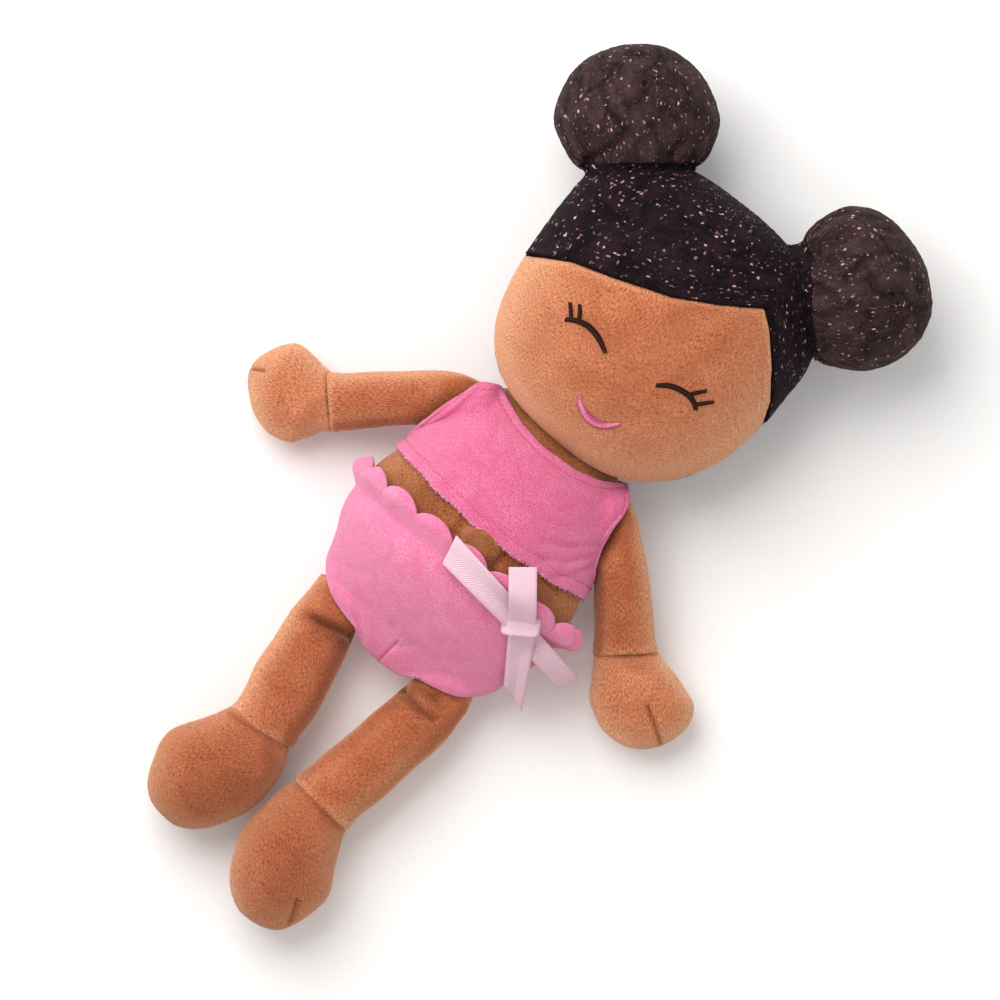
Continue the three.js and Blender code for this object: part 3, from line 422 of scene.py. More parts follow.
def leaning(rows, start, ahead, last, lean):
    """Leans the far end of a limb, so that its end seam runs at a slant across it."""
    ahead = np.array([*ahead, 0])
    left = np.array([-ahead[1], ahead[0], 0])
    away = rows - (*start, 0)
    near_end = np.clip((away @ ahead - 0.5 * last[0]) / (0.4 * last[0]), 0, 1)
    return rows + ahead * (lean * (away @ left) * near_end)[..., None]


def pressed_flat(rows, floor=0.15, soft=1.2):
    """Keeps a skin above the floor, with a soft edge round the part that is pressed flat."""
    rows = rows.copy()
    over = rows[..., 2] - floor
    rows[..., 2] = floor + soft * np.logaddexp(0, over / soft) - soft * np.log(2) * np.exp(-np.abs(over) / soft)
    return rows


leg_height, foot_height = 19.0, 20.0
# Under 'shades' and 'foot_shades' lie paths of painted shade: in the folds at the leg roots, along the legs' flanks
# and over part of the right foot
leg_shapes = {
    "right": {
        "start": (-25.5, -69.6),
        "ahead": (0.152, -0.988),
        "cover": [
            (-12, 0.2, 9.8, 3.6), (-6, 0.1, 10.8, 5.4), (0, 0.1, 11.7, 7.4), (6, 0.2, 12.8, 9.6),
            (13, 0.5, 13.4, 11.6), (21, 0.8, 13.9, 12.8), (30, 0.9, 14.3, 13.2), (39, 1.3, 13.9, 13.3),
            (46, 0.9, 13.5, 13.1), (51.4, 0.6, 13.6, 13.1),
        ],
        "foot_start": (-17.6, -120.8),
        "foot_ahead": (-0.119, -0.993),
        "foot": [
            (-4, 0.4, 12.4, 10.6), (-1, 0.9, 14.0, 12.2), (3, 1.4, 15.8, 14.4), (7, 1.3, 17.0, 16.2),
            (12, 0.8, 18.7, 18.1), (18, -0.6, 20.4, 19.8), (24, -1.7, 21.1, 20.4), (30, -2.4, 19.8, 19.3),
            (36, -2.2, 17.6, 16.8), (41, -2.1, 14.8, 13.8), (45, -2.2, 11.0, 10.0), (47.6, -2.3, 6.4, 5.7),
            (48.6, -2.3, 0, 0),
        ],
        "folds": [
            ([(-31, -76.2), (-24, -73.8), (-17, -72.0), (-11, -71)], 2.4, 2.2),
            ([(-24, -79), (-14, -77)], 1.0, 1.8),
        ],
        "shades": [
            ([(-29, -75), (-22, -73.2), (-12, -71)], 0.85, 2.5),
            ([(-24, -77.5), (-13, -74.5)], 0.5, 4.5),
            ([(-12.9, -75.2), (-7.6, -97.5), (-5.1, -115.9)], 0.75, 3.2),
        ],
        "dart": None,
        "foot_shades": [([(-5.6, -122), (-9.3, -142), (-14.5, -156.5)], 0.22, 9)],
    },
    "left": {
        "start": (25.5, -69.6),
        "ahead": (-0.11, -0.994),
        "cover": [
            (-12, 1.3, 8.0, 3.6), (-6, 1.5, 10.8, 5.6), (0, 1.6, 12.0, 7.4), (6, 1.9, 12.8, 9.6),
            (13, 1.9, 12.9, 11.6), (21, 1.2, 12.9, 12.8), (30, 0.8, 13.2, 13.2), (42, 0, 13.6, 13.3),
            (52, -0.9, 13.4, 13.1), (58.6, -1.1, 13.7, 13.1),
        ],
        "foot_start": (19.1, -127.5),
        "foot_ahead": (0.079, -0.997),
        "foot": [
            (-4, -1.0, 11.8, 10.4), (-1, -1.2, 13.4, 12.1), (3, -2.0, 14.6, 13.9), (7, -2.1, 15.5, 15.6),
            (12, -1.7, 17.1, 17.6), (18, -1.1, 18.9, 19.4), (24, 0.1, 20.1, 20.3), (28, 0.8, 20.2, 20.1),
            (33, 1.6, 18.9, 18.6), (39, 2.0, 17.0, 16.0), (44, 2.1, 14.3, 13.2), (48, 2.6, 10.6, 9.4),
            (50.4, 2.7, 6.0, 5.3), (51.3, 2.7, 0, 0),
        ],
        "folds": [
            ([(12, -74.2), (21, -76.2), (31, -75.6)], 2.4, 1.8),
            ([(15, -80), (23, -82)], 0.9, 2.0),
        ],
        "shades": [
            ([(14, -74.6), (22, -76.2), (30, -75.8)], 0.65, 2.0),
            ([(17, -71), (26, -69)], 0.7, 2.6),
            ([(13, -78), (26, -79)], 0.35, 5),
            ([(38.4, -66), (36.7, -94.1), (32.5, -124)], 0.5, 3.0),
            ([(15, -75), (10.7, -100.4), (5.1, -123)], 0.55, 3.2),
        ],
        "dart": [(37.9, -169.4), (36.4, -165), (34.4, -160.4)],
        "foot_shades": [],
    },
}
for side, shape in leg_shapes.items():
    stations = turned_in([(*row, leg_height) for row in shape["cover"]], [(0.7, 0.7), (0.2, 1.9), (-3.5, 3.2)])
    rows = limb_rows(shape["start"], shape["ahead"], stations, 1.1)
    normal = facing(rows, closed=True)
    rows = creased(uneven(rows, normal, (14, 0.55, 3), (1.6, 0.14, 4)), normal, shape["folds"])
    leg = grid_piece(f"{side}_leg_plush", [capped(pressed_flat(rows))], [limb_plush], painted_shade=shape["shades"])
    ahead = np.array([*shape["ahead"], 0])
    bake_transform(leg)
    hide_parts(f"{side}_leg_cover", f"{side}_leg_stuffing")
    # The slim ends of the foot lie half a millimetre lower
    stations = [(*row, foot_height - (0.5 if row[3] < 14 else 0)) for row in shape["foot"]]
    rows = limb_rows(shape["foot_start"], shape["foot_ahead"], stations, 1.1, 120)
    normal = facing(rows, closed=True)
    darts = [shape["dart"]] if shape["dart"] else []
    rows = uneven(rows, normal, (15, 0.7, 5), (1.6, 0.14, 6))
    rows = creased(rows, normal, [(dart, 1.8, 0.9) for dart in darts])
    # Painted shade along the ankle seam, over the given stretches of the foot and along its dart
    ankle = end_seam(shape["start"], shape["ahead"], shape["cover"][-1])
    painted_shade_lines = [(ankle, 0.6, 1.1), *shape["foot_shades"], *((dart, 0.85, 0.7) for dart in darts)]
    foot = grid_piece(f"{side}_foot_plush", [capped(pressed_flat(rows))], [foot_plush], painted_shade=painted_shade_lines)
    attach(foot, f"{side}_leg")
    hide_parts(f"{side}_foot_cover")


# Arms and hands
# Each arm is a stuffed tube sewn flat into the side seam below the shoulder, so that it swings there. The
# hand is a rounded bag sewn to the arm's end, with a short dart at its tip that rounds it off.
# Under 'shades' lie paths of painted shade: under the armholes and along one flank of each arm
arm_shapes = {
    "right": {
        "start": (-41.2, 20.0),
        "ahead": (-0.785, -0.62),
        "cover": [
            (-14, -0.6, 6.0, 3.4), (-7, -1.1, 8.6, 4.6), (0, -1.5, 9.8, 6.0), (6, -1.6, 10.2, 8.2),
            (12, -1.3, 10.2, 9.5), (18, -0.9, 10.2, 9.9), (27, -0.2, 10.5, 10.0), (36, 0.6, 10.6, 10.0),
            (41, 0.9, 10.8, 10.0), (44.6, 1.1, 11.1, 10.2),
        ],
        "hand_start": (-76.5, -7.9),
        "hand_ahead": (-0.921, -0.389),
        "hand": [
            (-5.4, 1.6, 9.2, 8.0), (-2.5, 2.1, 9.9, 9.0), (-0.4, 2.2, 10.4, 9.6), (0.7, 2.2, 11.6, 10.2),
            (3, 2.6, 13.0, 11.2), (6, 3.0, 14.5, 12.0), (9, 3.2, 16.5, 12.8), (12, 2.6, 17.4, 13.2),
            (15, 1.7, 17.9, 13.4), (18, 1.2, 17.8, 13.3), (21, 0.9, 16.5, 12.6), (24, 0.6, 14.3, 11.0),
            (27, 0.2, 11.1, 8.6), (29.6, -0.6, 7.2, 5.8), (31.3, -1.0, 3.8, 3.0), (32, -1.0, 0, 0),
        ],
        "dart": [(-107, -18.2), (-104, -16.4), (-102.2, -15.4)],
        "lean": -0.08,
        "shades": [
            ([(-44.4, 9), (-41.8, 19), (-38, 31)], 0.55, 3.5),
            ([(-45.5, 6), (-56, -4.4), (-67.1, -14.7)], 0.7, 2.4),
        ],
    },
    "left": {
        "start": (41.2, 20.0),
        "ahead": (0.749, -0.662),
        "cover": [
            (-14, 0.8, 6.0, 3.4), (-7, 0.5, 8.2, 4.8), (0, 0.2, 8.9, 6.4), (6, -0.2, 9.5, 8.4),
            (12, -0.6, 10.2, 9.5), (18, -1.0, 10.8, 9.9), (27, -2.1, 11.3, 10.0), (36, -2.9, 11.6, 10.0),
            (40, -3.4, 11.9, 10.0), (42.7, -3.6, 12.1, 10.2),
        ],
        "hand_start": (74.0, -9.0),
        "hand_ahead": (0.723, -0.691),
        "hand": [
            (-4, -4.1, 10.4, 8.4), (-0.4, -3.8, 12.1, 9.6), (0.7, -3.5, 12.6, 10.2), (3, -3.2, 13.3, 11.3),
            (6, -2.4, 14.6, 12.2), (9, -1.7, 16.1, 13.0), (12, -1.3, 17.3, 13.4), (16, -0.4, 18.4, 13.5),
            (20, 1.0, 18.8, 13.2), (24, 1.5, 18.0, 12.5), (27, 1.5, 16.6, 11.4), (30, 1.5, 14.2, 9.8),
            (33.2, 1.0, 9.9, 7.0), (35.3, 0.6, 5.2, 4.0), (36.1, 0.5, 0, 0),
        ],
        "dart": [(103, -28.9), (97, -25), (89.5, -20.8)],
        "lean": 0.112,
        "shades": [
            ([(39.5, 13), (37.5, 20), (35, 28)], 0.8, 3.0),
            ([(43, 5), (53.5, -8.3), (61.5, -18.7)], 1.15, 2.4),
        ],
    },
}
arm_height, arm_fall, hand_height = 27.2, 0.238, 13.2
# Minky of the hands: the same plush a shade paler, as painted light on the hands
hand_plush_painted_light = minky("minky plush, tan, painted light", "#CE815A", "#DF946B", "#F0B28A")
for side, shape in arm_shapes.items():
    stations = [(*row, arm_height - arm_fall * row[0]) for row in shape["cover"]]
    last = stations[-1]
    stations = turned_in(stations, [(0.6, 0.5), (0.5, 1.6), (-3.5, 3.0)])
    rows = limb_rows(shape["start"], shape["ahead"], stations, 1.0)
    rows = leaning(rows, shape["start"], shape["ahead"], last, shape["lean"])
    rows = uneven(rows, facing(rows, closed=True), (12, 0.5, 7), (1.6, 0.14, 8))
    arm = grid_piece(f"{side}_arm_plush", [capped(pressed_flat(rows))], [limb_plush], painted_shade=shape["shades"])
    ahead = np.array([*shape["ahead"], -arm_fall])
    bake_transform(arm)
    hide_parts(f"{side}_arm_cover", f"{side}_arm_stuffing")
    heights = np.linspace(last[4], hand_height, 5).tolist() + [hand_height] * len(shape["hand"])
    stations = [(*row, height) for row, height in zip(shape["hand"], heights)]
    rows = limb_rows(shape["hand_start"], shape["hand_ahead"], stations, 1.0, 110)
    normal = facing(rows, closed=True)
    rows = uneven(rows, normal, (12, 0.5, 9), (1.6, 0.14, 10))
    rows = creased(rows, normal, [(shape["dart"], 1.6, 0.8)])
    # Painted shade along the dart and along the wrist seam
    wrist = end_seam(shape["start"], shape["ahead"], last, shape["lean"])
    painted_shade_lines = [(shape["dart"], 0.85, 0.7), (wrist, 0.8, 0.9)]
    hand = grid_piece(f"{side}_hand_plush_painted_light", [capped(pressed_flat(rows))], [hand_plush_painted_light], painted_shade=painted_shade_lines)
    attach(hand, f"{side}_arm")
    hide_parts(f"{side}_hand_cover")


# Head
# A face panel of the skin plush and two panels of dark hair plush, one over the forehead and crown and one for
# the back of the head, sewn edge to edge and stuffed tight. The hairline rises to a part on the doll's left.
head_middle = np.array([0, 104.6, 37.5])
head_half_width, head_half_depth, crown, jaw = 55.6, 38.0, 42.5, 70.4
# How square the head is in outline above and below its middle, and in depth
crown_power, jaw_power, depth_power = 2.6, 2.7, 2.2
hairline = np.array(
    [
        (-60, 78.5), (-52.2, 81.3), (-38.7, 88.8), (-21.8, 94.2), (-1, 102.2), (14.7, 111.6), (28.1, 121.4),
        (34.3, 116.9), (44.4, 106.4), (51.9, 97.3), (55.7, 88.5), (60, 80),
    ]
)


def head_section(y):
    """Half width and half depth of the head at places along it."""
    above = y > head_middle[1]
    share = np.clip(np.abs(y - head_middle[1]) / np.where(above, crown, jaw), 0, 1)
    power = np.where(above, crown_power, jaw_power)
    return (
        head_half_width * (1 - share**power) ** (1 / power),
        head_half_depth * (1 - share**depth_power) ** (1 / depth_power),
    )


# The stuffing has pushed the cheeks a little to the doll's left and the chin and crown to its right
head_lean = [
    (34, -0.9), (48, -0.8), (58, -0.2), (68, 0.5), (90, 0.4), (100, 0.1), (110, 0), (118, -0.6), (147.1, 0),
]


def head_points(y, angle, grow=0.0):
    """Points round the head; the angle starts at the doll's left ear and runs over the face."""
    half_width, half_depth = head_section(y)
    return np.stack(
        [
            (half_width + grow) * np.cos(angle) + through(head_lean, y)[..., 0],
            y + 0 * angle,
            head_middle[2] + (half_depth + grow) * np.sin(angle),
        ],
        axis=-1,
    )


def along_head(lift):
    """Place along the head of a lift from -90 degrees at the chin to 90 at the crown."""
    return head_middle[1] + np.where(lift > 0, crown, jaw) * np.sin(lift)


def seamed(rows, normal, edge):
    """Draws a panel in at its sewn sides, where the stitches pucker it every 3 mm or so."""
    off = np.abs(rows[..., 2] - head_middle[2])
    pucker = 1 + 0.25 * np.sin(rows[..., 1] * 2 * np.pi / 3.1)
    return rows - normal * (edge * pucker * near(off, 1.5))[..., None]


# One column runs exactly to the part, so that the hairline keeps its peak there
head_columns = 171
columns = np.linspace(0, np.pi, head_columns)
part_x, part_y = hairline[6]
part_angle = math.acos((part_x + 0.5) / float(head_section(part_y)[0]))
columns[np.argmin(np.abs(columns - part_angle))] = part_angle

# Where each column of the face meets the hairline, found by halving the span from chin to crown
low, high = np.full(columns.shape, 50.0), np.full(columns.shape, 140.0)
for _ in range(40):
    middle = (low + high) / 2
    x = head_points(middle, columns)[..., 0]
    under = middle < np.interp(x, hairline[:, 0], hairline[:, 1])
    low, high = np.where(under, middle, low), np.where(under, high, middle)
hair_lift = np.arcsin(np.clip((low - head_middle[1]) / np.where(low > head_middle[1], crown, jaw), -1, 1))

face_share = np.concatenate([np.linspace(0, 0.97, 110), [0.98, 0.99, 1.0]])[:, None]
lift = -np.pi / 2 + face_share * (hair_lift + np.pi / 2)
rows = head_points(along_head(lift), columns + 0 * lift)
normal = facing(rows)
rows = seamed(uneven(rows, normal, (30, 0.4, 11), (1.6, 0.1, 12)), normal, 0.8)
# The edge along the hairline is turned in
rows[-1] -= normal[-1] * 1.3
rows[-2] -= normal[-2] * 0.25
rows[0] = rows[0].mean(0)
face = grid_piece("face_plush", [rows], [skin_plush], closed=False)
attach(face, "head")
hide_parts("face_panel", "head_stuffing")


def sparkle_plush(name, dark, light, cell, largest):
    """Dark pile with tinsel: the two tones of its pile, the millimetres of cloth to a speck, and a speck's reach."""
    material, tree, shader = new_finish(
        name,
        {
            "Specular IOR Level": 0.08,
            "Sheen Weight": 0.06,
            "Sheen Roughness": 0.4,
            "Sheen Tint": linear("#6E5860"),
        },
    )
    pile, patches, strokes = brushed_pile(
        tree, (11, {"Detail": 2.0, "Distortion": 0.8}), (0.6, 1.9, {"Detail": 2.5, "Roughness": 0.6}), sway=(5, 6)
    )
    both = add(tree, "Math", {0: strokes, 1: patches}, operation="ADD").outputs[0]
    tone = add(tree, "MapRange", {"Value": both, "From Min": 0.66, "From Max": 1.38}).outputs["Result"]
    pile_colour = add(tree, "Mix", {0: tone, 6: linear(dark), 7: linear(light)}, data_type="RGBA").outputs[2]
    ragged = add(
        tree, "TexNoise", {"Vector": pile, "Scale": 1 / 0.8, "Detail": 1.0}, noise_dimensions="2D"
    ).outputs["Color"]
    bent = add(
        tree, "VectorMath", {0: ragged, 1: (1.3, 1.3, 0), 2: pile}, operation="MULTIPLY_ADD"
    ).outputs["Vector"]
    # Two lays of tinsel, one along the pile and one across it
    specks, shine = [], []
    for stretch in ((1 / cell, 0.55 / cell, 0), (0.6 / cell, 1 / cell, 0)):
        lay = add(tree, "VectorMath", {0: bent, 1: stretch}, operation="MULTIPLY").outputs["Vector"]
        tinsel = add(tree, "TexVoronoi", {"Vector": lay, "Scale": 1.0}, voronoi_dimensions="2D")
        chance = add(tree, "SeparateColor", {"Color": tinsel.outputs["Color"]})
        rare = add(
            tree, "Math", {0: chance.outputs["Green"], 1: chance.outputs["Green"]}, operation="MULTIPLY"
        ).outputs[0]
        reach = add(
            tree, "Math", {0: rare, 1: 1.35 * largest / cell, 2: -0.35 * largest / cell}, operation="MULTIPLY_ADD"
        ).outputs[0]
        depth = add(tree, "Math", {0: reach, 1: tinsel.outputs["Distance"]}, operation="SUBTRACT").outputs[0]
        edge = add(
            tree, "MapRange", {"Value": depth, "From Min": -0.05 / cell, "From Max": 0.2 / cell}
        ).outputs["Result"]
        specks.append(edge)
        shine.append(chance.outputs["Blue"])
    speck = add(tree, "Math", {0: specks[0], 1: specks[1]}, operation="MAXIMUM").outputs[0]
    # Each speck's painted glint: brighter or duller at random, from dusky rose to pale pinkish gold
    bright = add(tree, "Mix", {0: specks[1], 2: shine[0], 3: shine[1]}, data_type="FLOAT").outputs[0]
    bright = add(tree, "Math", {0: bright, 1: 1.6}, operation="POWER").outputs[0]
    gold = add(tree, "Mix", {0: bright, 6: linear("#6A4448"), 7: linear("#FFC4B8")}, data_type="RGBA").outputs[2]
    colour = add(tree, "Mix", {0: speck, 6: pile_colour, 7: gold}, data_type="RGBA").outputs[2]
    tree.links.new(colour, shader.inputs["Base Color"])
    gloss = add(tree, "Mix", {0: speck, 2: 0.72, 3: 0.3}, data_type="FLOAT").outputs[0]
    tree.links.new(gloss, shader.inputs["Roughness"])
    nap = add(tree, "Bump", {"Height": strokes, "Strength": 0.8, "Distance": 0.0009}).outputs["Normal"]
    tree.links.new(nap, shader.inputs["Normal"])
    return material


# Sparkle plush: a short dark pile knitted with flat metallic tinsel. Specks of tinsel 0.3 to 1 mm long catch
# the light in pinkish gold, about one for each 8 square millimetres: their glints are painted, each speck brighter
# or duller at random, and the pile itself stays almost black.
hair_plush = sparkle_plush("sparkle plush, black-brown", "#070305", "#2C1D24", 2.2, 0.5)


def tube_rows(path, radius, sides=8):
    """Rings of a thread along a path of points, tapered shut at both ends."""
    path = np.asarray(path, float)
    ahead = unit(np.gradient(path, axis=0))
    no_way = (0.13, 0.21, 0.97)  # a direction that no thread runs along
    side = unit(np.cross(ahead, no_way))
    up = np.cross(side, ahead)
    size = np.full(len(path), radius)
    size[[0, -1]] = 0.0
    turn = np.linspace(0, 2 * np.pi, sides, endpoint=False)
    ring = np.cos(turn)[None, :, None] * side[:, None] + np.sin(turn)[None, :, None] * up[:, None]
    return path[:, None] + size[:, None, None] * ring


def frayed(edge, outwards, normal, length, gap, rng):
    """Tufts of loose pile along a cut edge: short tapered hairs that lean each its own way."""
    tufts, hair_radius = [], 0.24
    run = run_along(edge)
    for stop in np.arange(0, run[-1], gap):
        place, out, up = (
            np.array([np.interp(stop, run, line[:, k]) for k in range(3)]) for line in (edge, outwards, normal)
        )
        side = np.cross(out, up)
        reach = length * rng.uniform(0.45, 1.0)
        lean = unit(out + side * rng.normal(0, 0.45) + up * rng.normal(0.05, 0.25))
        start = place - out * 0.5 + up * rng.uniform(-0.4, 0.5)
        curl = side * rng.normal(0, 0.25) * reach
        path = [start, start + lean * reach * 0.5, start + lean * reach + curl]
        rows = tube_rows(path, hair_radius, 4)
        rows[0] = path[0] + (rows[1] - path[1]) * 0.9
        tufts.append(rows)
    return tufts


hair_share = np.concatenate([[0, 0.35, 0.8], np.linspace(2, 100, 72)])[:, None] / 100
lift = hair_lift + hair_share * (np.pi / 2 - hair_lift)
rows = head_points(along_head(lift), columns + 0 * lift, 0.3 * np.minimum(1, 40 * (1 - hair_share)))
normal = facing(rows)
rows = seamed(uneven(rows, normal, (22, 0.6, 13), (2.0, 0.25, 14)), normal, 1.0)
# Its edge along the hairline is turned in too
rows[0] -= normal[0] * 1.4
rows[1] -= normal[1] * 0.4
rows[-1] = rows[-1].mean(0)
hair_front = grid_piece("forehead_hair_plush", [rows], [hair_plush], closed=False)
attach(hair_front, "head")
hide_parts("hair_front_panel")
# Loose pile stands along the hairline, apart from its ends in the side seams
inner = slice(6, -6)
outwards = unit(rows[1] - rows[3])[inner]
tufts = frayed(rows[1, inner], outwards, normal[1, inner], 1.3, 0.22, np.random.default_rng(2))
hairline_tufts = grid_piece("hairline_tufts", tufts, [hair_plush])
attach(hairline_tufts, "head")

lift, angle = np.meshgrid(
    np.linspace(-np.pi / 2, np.pi / 2, 150), np.linspace(-np.pi, 0, head_columns), indexing="ij"
)
rows = head_points(along_head(lift), angle)
normal = facing(rows)
rows = seamed(uneven(rows, normal, (20, 0.9, 15), (2.0, 0.25, 16)), normal, 1.0)
hair_back = grid_piece("back_hair_plush", [capped(pressed_flat(rows))], [hair_plush], closed=False)
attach(hair_back, "head")
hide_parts("head_back_panel")


# Hair buns
# Each bun is a disc of the hair plush gathered into a ball round a handful of fibrefill and sewn to the head.
# The gathers run out from its base as folds, and a few turns of thread lie in the crease there.
bun_depth = 0.9
bun_folds = {
    "right": [((-20, -13, -6), (2, 5, 11)), ((12, 15), (3, 8))],
    "left": [((-4, 2, 8), (3, 7, 10)), ((-15, -12), (3, 9))],
}
bun_profile = [
    (-9, 16), (-4, 19.4), (-0.8, 19.8), (0.4, 20.6), (1.6, 22.6), (5, 25.4), (9, 27.6), (14, 29.8), (18, 30.8),
    (24, 30.1), (30, 27.9), (36, 24), (41, 18.6), (44.5, 12.6), (46.4, 6.6), (47.0, 0),
]
# The same sparkle plush, brushed up when the ball is gathered: browner and paler, partly as painted light on the
# buns, with one speck for 12 square millimetres
bun_plush_painted_paler = sparkle_plush("sparkle plush, brushed brown, painted light", "#150C0D", "#523C3D", 2.5, 0.54)

# Polyester sewing thread: a smooth two-ply twist whose turns, 1.8 mm apart, carry painted glints along stretches
# of the thread
bun_thread, tree, shader = new_finish(
    "polyester sewing thread, black", {"Roughness": 0.55, "Specular IOR Level": 0.15}
)
lay = add(tree, "UVMap", {}, uv_map="pile").outputs["UV"]
ply = add(
    tree, "TexWave", {"Vector": lay, "Scale": 1 / 2.8, "Distortion": 0.0}, bands_direction="DIAGONAL"
).outputs["Fac"]
stretches = add(
    tree, "TexNoise", {"Vector": lay, "Scale": 1 / 7, "Detail": 1.0}, noise_dimensions="2D"
).outputs["Fac"]
# Painted glints on the thread's turns, only in some stretches
glint = add(tree, "MapRange", {"Value": stretches, "From Min": 0.55, "From Max": 0.68}).outputs["Result"]
glint = add(tree, "Math", {0: glint, 1: ply}, operation="MULTIPLY").outputs[0]
thread_colour = add(
    tree, "Mix", {0: glint, 6: linear("#0C0809"), 7: linear("#5A5058")}, data_type="RGBA"
).outputs[2]
tree.links.new(thread_colour, shader.inputs["Base Color"])


# Stretch of the head that the buns can touch, by its middle and half length, and how far off counts as clear
bun_stretch, bun_clearance = (111, 36), 0.4


def above_head(point):
    """Whether points stand clear of the head."""
    half_width, half_depth = head_section(point[..., 1])
    across = point[..., 0] / (half_width + bun_clearance)
    deep = (point[..., 2] - head_middle[2]) / (half_depth + bun_clearance)
    return (np.abs(point[..., 1] - bun_stretch[0]) >= bun_stretch[1]) | (across**2 + deep**2 >= 1)


for side, seat, sign, lean in [("right", (-41.0, 132.7), -1, 40.2), ("left", (37.8, 135.0), 1, 45.5)]:
    lean = math.radians(lean)
    axis = np.array([sign * math.sin(lean), math.cos(lean), 0])
    flank = np.array([axis[1], -axis[0], 0])
    base = np.array([*seat, head_middle[2]])
    table = np.asarray(bun_profile, float)
    run = run_along(table)
    height, radius = np.moveaxis(through(np.column_stack([run, table]), np.arange(0, run[-1], 1.1)), -1, 0)
    turn = np.linspace(0, 2 * np.pi, 132, endpoint=False)
    # Fifteen gathers run out from the base, unevenly spread
    base_share = near(np.clip(height, 0, None), 11)[:, None]
    gathers = 1.1 * base_share * np.sin(15 * turn + 1.7 * np.sin(3 * turn + sign) + 0.06 * height[:, None])
    radius = np.maximum(radius, 0)[:, None] + gathers * (radius > 6)[:, None]
    rows = (
        base
        + height[:, None, None] * axis
        - 1.6 * np.sin(np.pi * np.clip(height / table[-1, 0], 0, 1))[:, None, None] * flank
        + (radius * np.cos(turn))[..., None] * flank
        + (bun_depth * radius * np.sin(turn))[..., None] * np.array([0, 0, 1])
    )
    normal = facing(rows, closed=True)
    rows = uneven(rows, normal, (22, 1.5, 17 + sign), (2.2, 0.3, 20 + sign))
    folds = [
        ([tuple(np.array(seat) + k * flank[:2] + h * axis[:2]) for k, h in zip(across, up)], 2.6, 1.7)
        for across, up in bun_folds[side]
    ]
    rows = capped(creased(rows, normal, folds))
    # Up to 1.2 mm from the head the bun keeps the darker head plush, as painted shade in the crease
    neck = int(np.argmax(height > 1.2))
    halves = [rows[: neck + 1], rows[neck:]]
    bun = grid_piece(f"{side}_bun_plush_painted_paler", halves, [hair_plush, bun_plush_painted_paler], by_grid=True, pole=True)
    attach(bun, "head")
    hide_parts(f"{side}_bun_cover", f"{side}_bun_stuffing")
    # The thread lies where the ball comes clear of the head
    clear = np.argmax(above_head(rows), axis=0)
    crease = rows[clear, np.arange(rows.shape[1])]
    turns = []
    for wrap in range(3):
        path = np.concatenate([crease, crease[:1]])
        swell = 0.5 + 0.5 * np.sin(np.arange(len(path)) * 0.19 + 2.1 * wrap)
        path = path + axis * (0.2 * wrap + 0.5 * swell - 0.7)[:, None]
        path = path + (path - base) * (0.004 + 0.006 * wrap)
        turns.append(tube_rows(path, 0.26))
    thread = grid_piece(f"{side}_bun_thread", turns, [bun_thread])
    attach(thread, "head")
    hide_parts(f"{side}_bun_gathering_thread")


# Embroidered eyes and mouth
# Closed eyelids, lashes and a smile in satin stitch: glossy rayon threads laid side by side across each line
# and sunk a little into the plush. The eyes are dark brown and the mouth is rose.


def face_points(x, y, rise):
    """Points on the front of the face, raised by a height."""
    half_width, half_depth = head_section(y)
    front = np.sqrt(np.clip(1 - (x / half_width) ** 2, 0.02, 1))
    return np.stack([x, y, head_middle[2] + half_depth * front + rise], axis=-1)


def satin_stitches(line, widths, lean):
    """Threads 0.6 mm apart laid across a line of plan points, each arched over from edge to edge."""
    line = np.asarray(line, float)
    run = run_along(line)
    stops = np.arange(0.1, run[-1], 0.6)
    middle = through(np.column_stack([run, line]), stops)
    width = np.interp(stops / run[-1], np.linspace(0, 1, len(widths)), widths)
    ahead = unit(np.gradient(middle, axis=0))
    across = np.stack([-ahead[:, 1], ahead[:, 0]], axis=1) + lean * ahead
    threads = []
    for k, (point, over, wide) in enumerate(zip(middle, across, width)):
        t = np.linspace(-0.5, 0.5, 7)
        jitter = 1 + 0.14 * math.sin(37.7 * k)
        plan = point + t[:, None] * over * wide * jitter
        arch = (0.75 + 0.12 * math.sin(21.3 * k)) * np.sqrt(np.clip(1 - (2 * t) ** 2, 0, 1)) - 0.1
        threads.append(tube_rows(face_points(plan[:, 0], plan[:, 1], arch), 0.36, 8))
    return threads


def rayon(name, dark, light, half):
    """Embroidery thread whose stitches, so many millimetres to their middle, have a painted highlight there."""
    material, tree, shader = new_finish(name, {"Roughness": 0.5, "Specular IOR Level": 0.15})
    lay = add(tree, "UVMap", {}, uv_map="pile").outputs["UV"]
    split = add(tree, "SeparateXYZ", {"Vector": lay})
    # Painted highlight: each stitch goes from the dark tone at its ends to the light tone at its middle
    inward = add(tree, "Math", {0: split.outputs["Y"], 1: half}, operation="PINGPONG").outputs[0]
    crown = add(tree, "MapRange", {"Value": inward, "From Min": 0.35 * half, "From Max": half}).outputs["Result"]
    tone = add(tree, "Mix", {0: crown, 6: linear(dark), 7: linear(light)}, data_type="RGBA").outputs[2]
    tree.links.new(tone, shader.inputs["Base Color"])
    return material


# Satin stitch: threads drawn 0.6 mm apart, coarser than they are, dark at both ends and painted bright where they
# arch, as a painted highlight
eye_thread = rayon("rayon embroidery thread, dark brown", "#080302", "#381B12", 1.75)

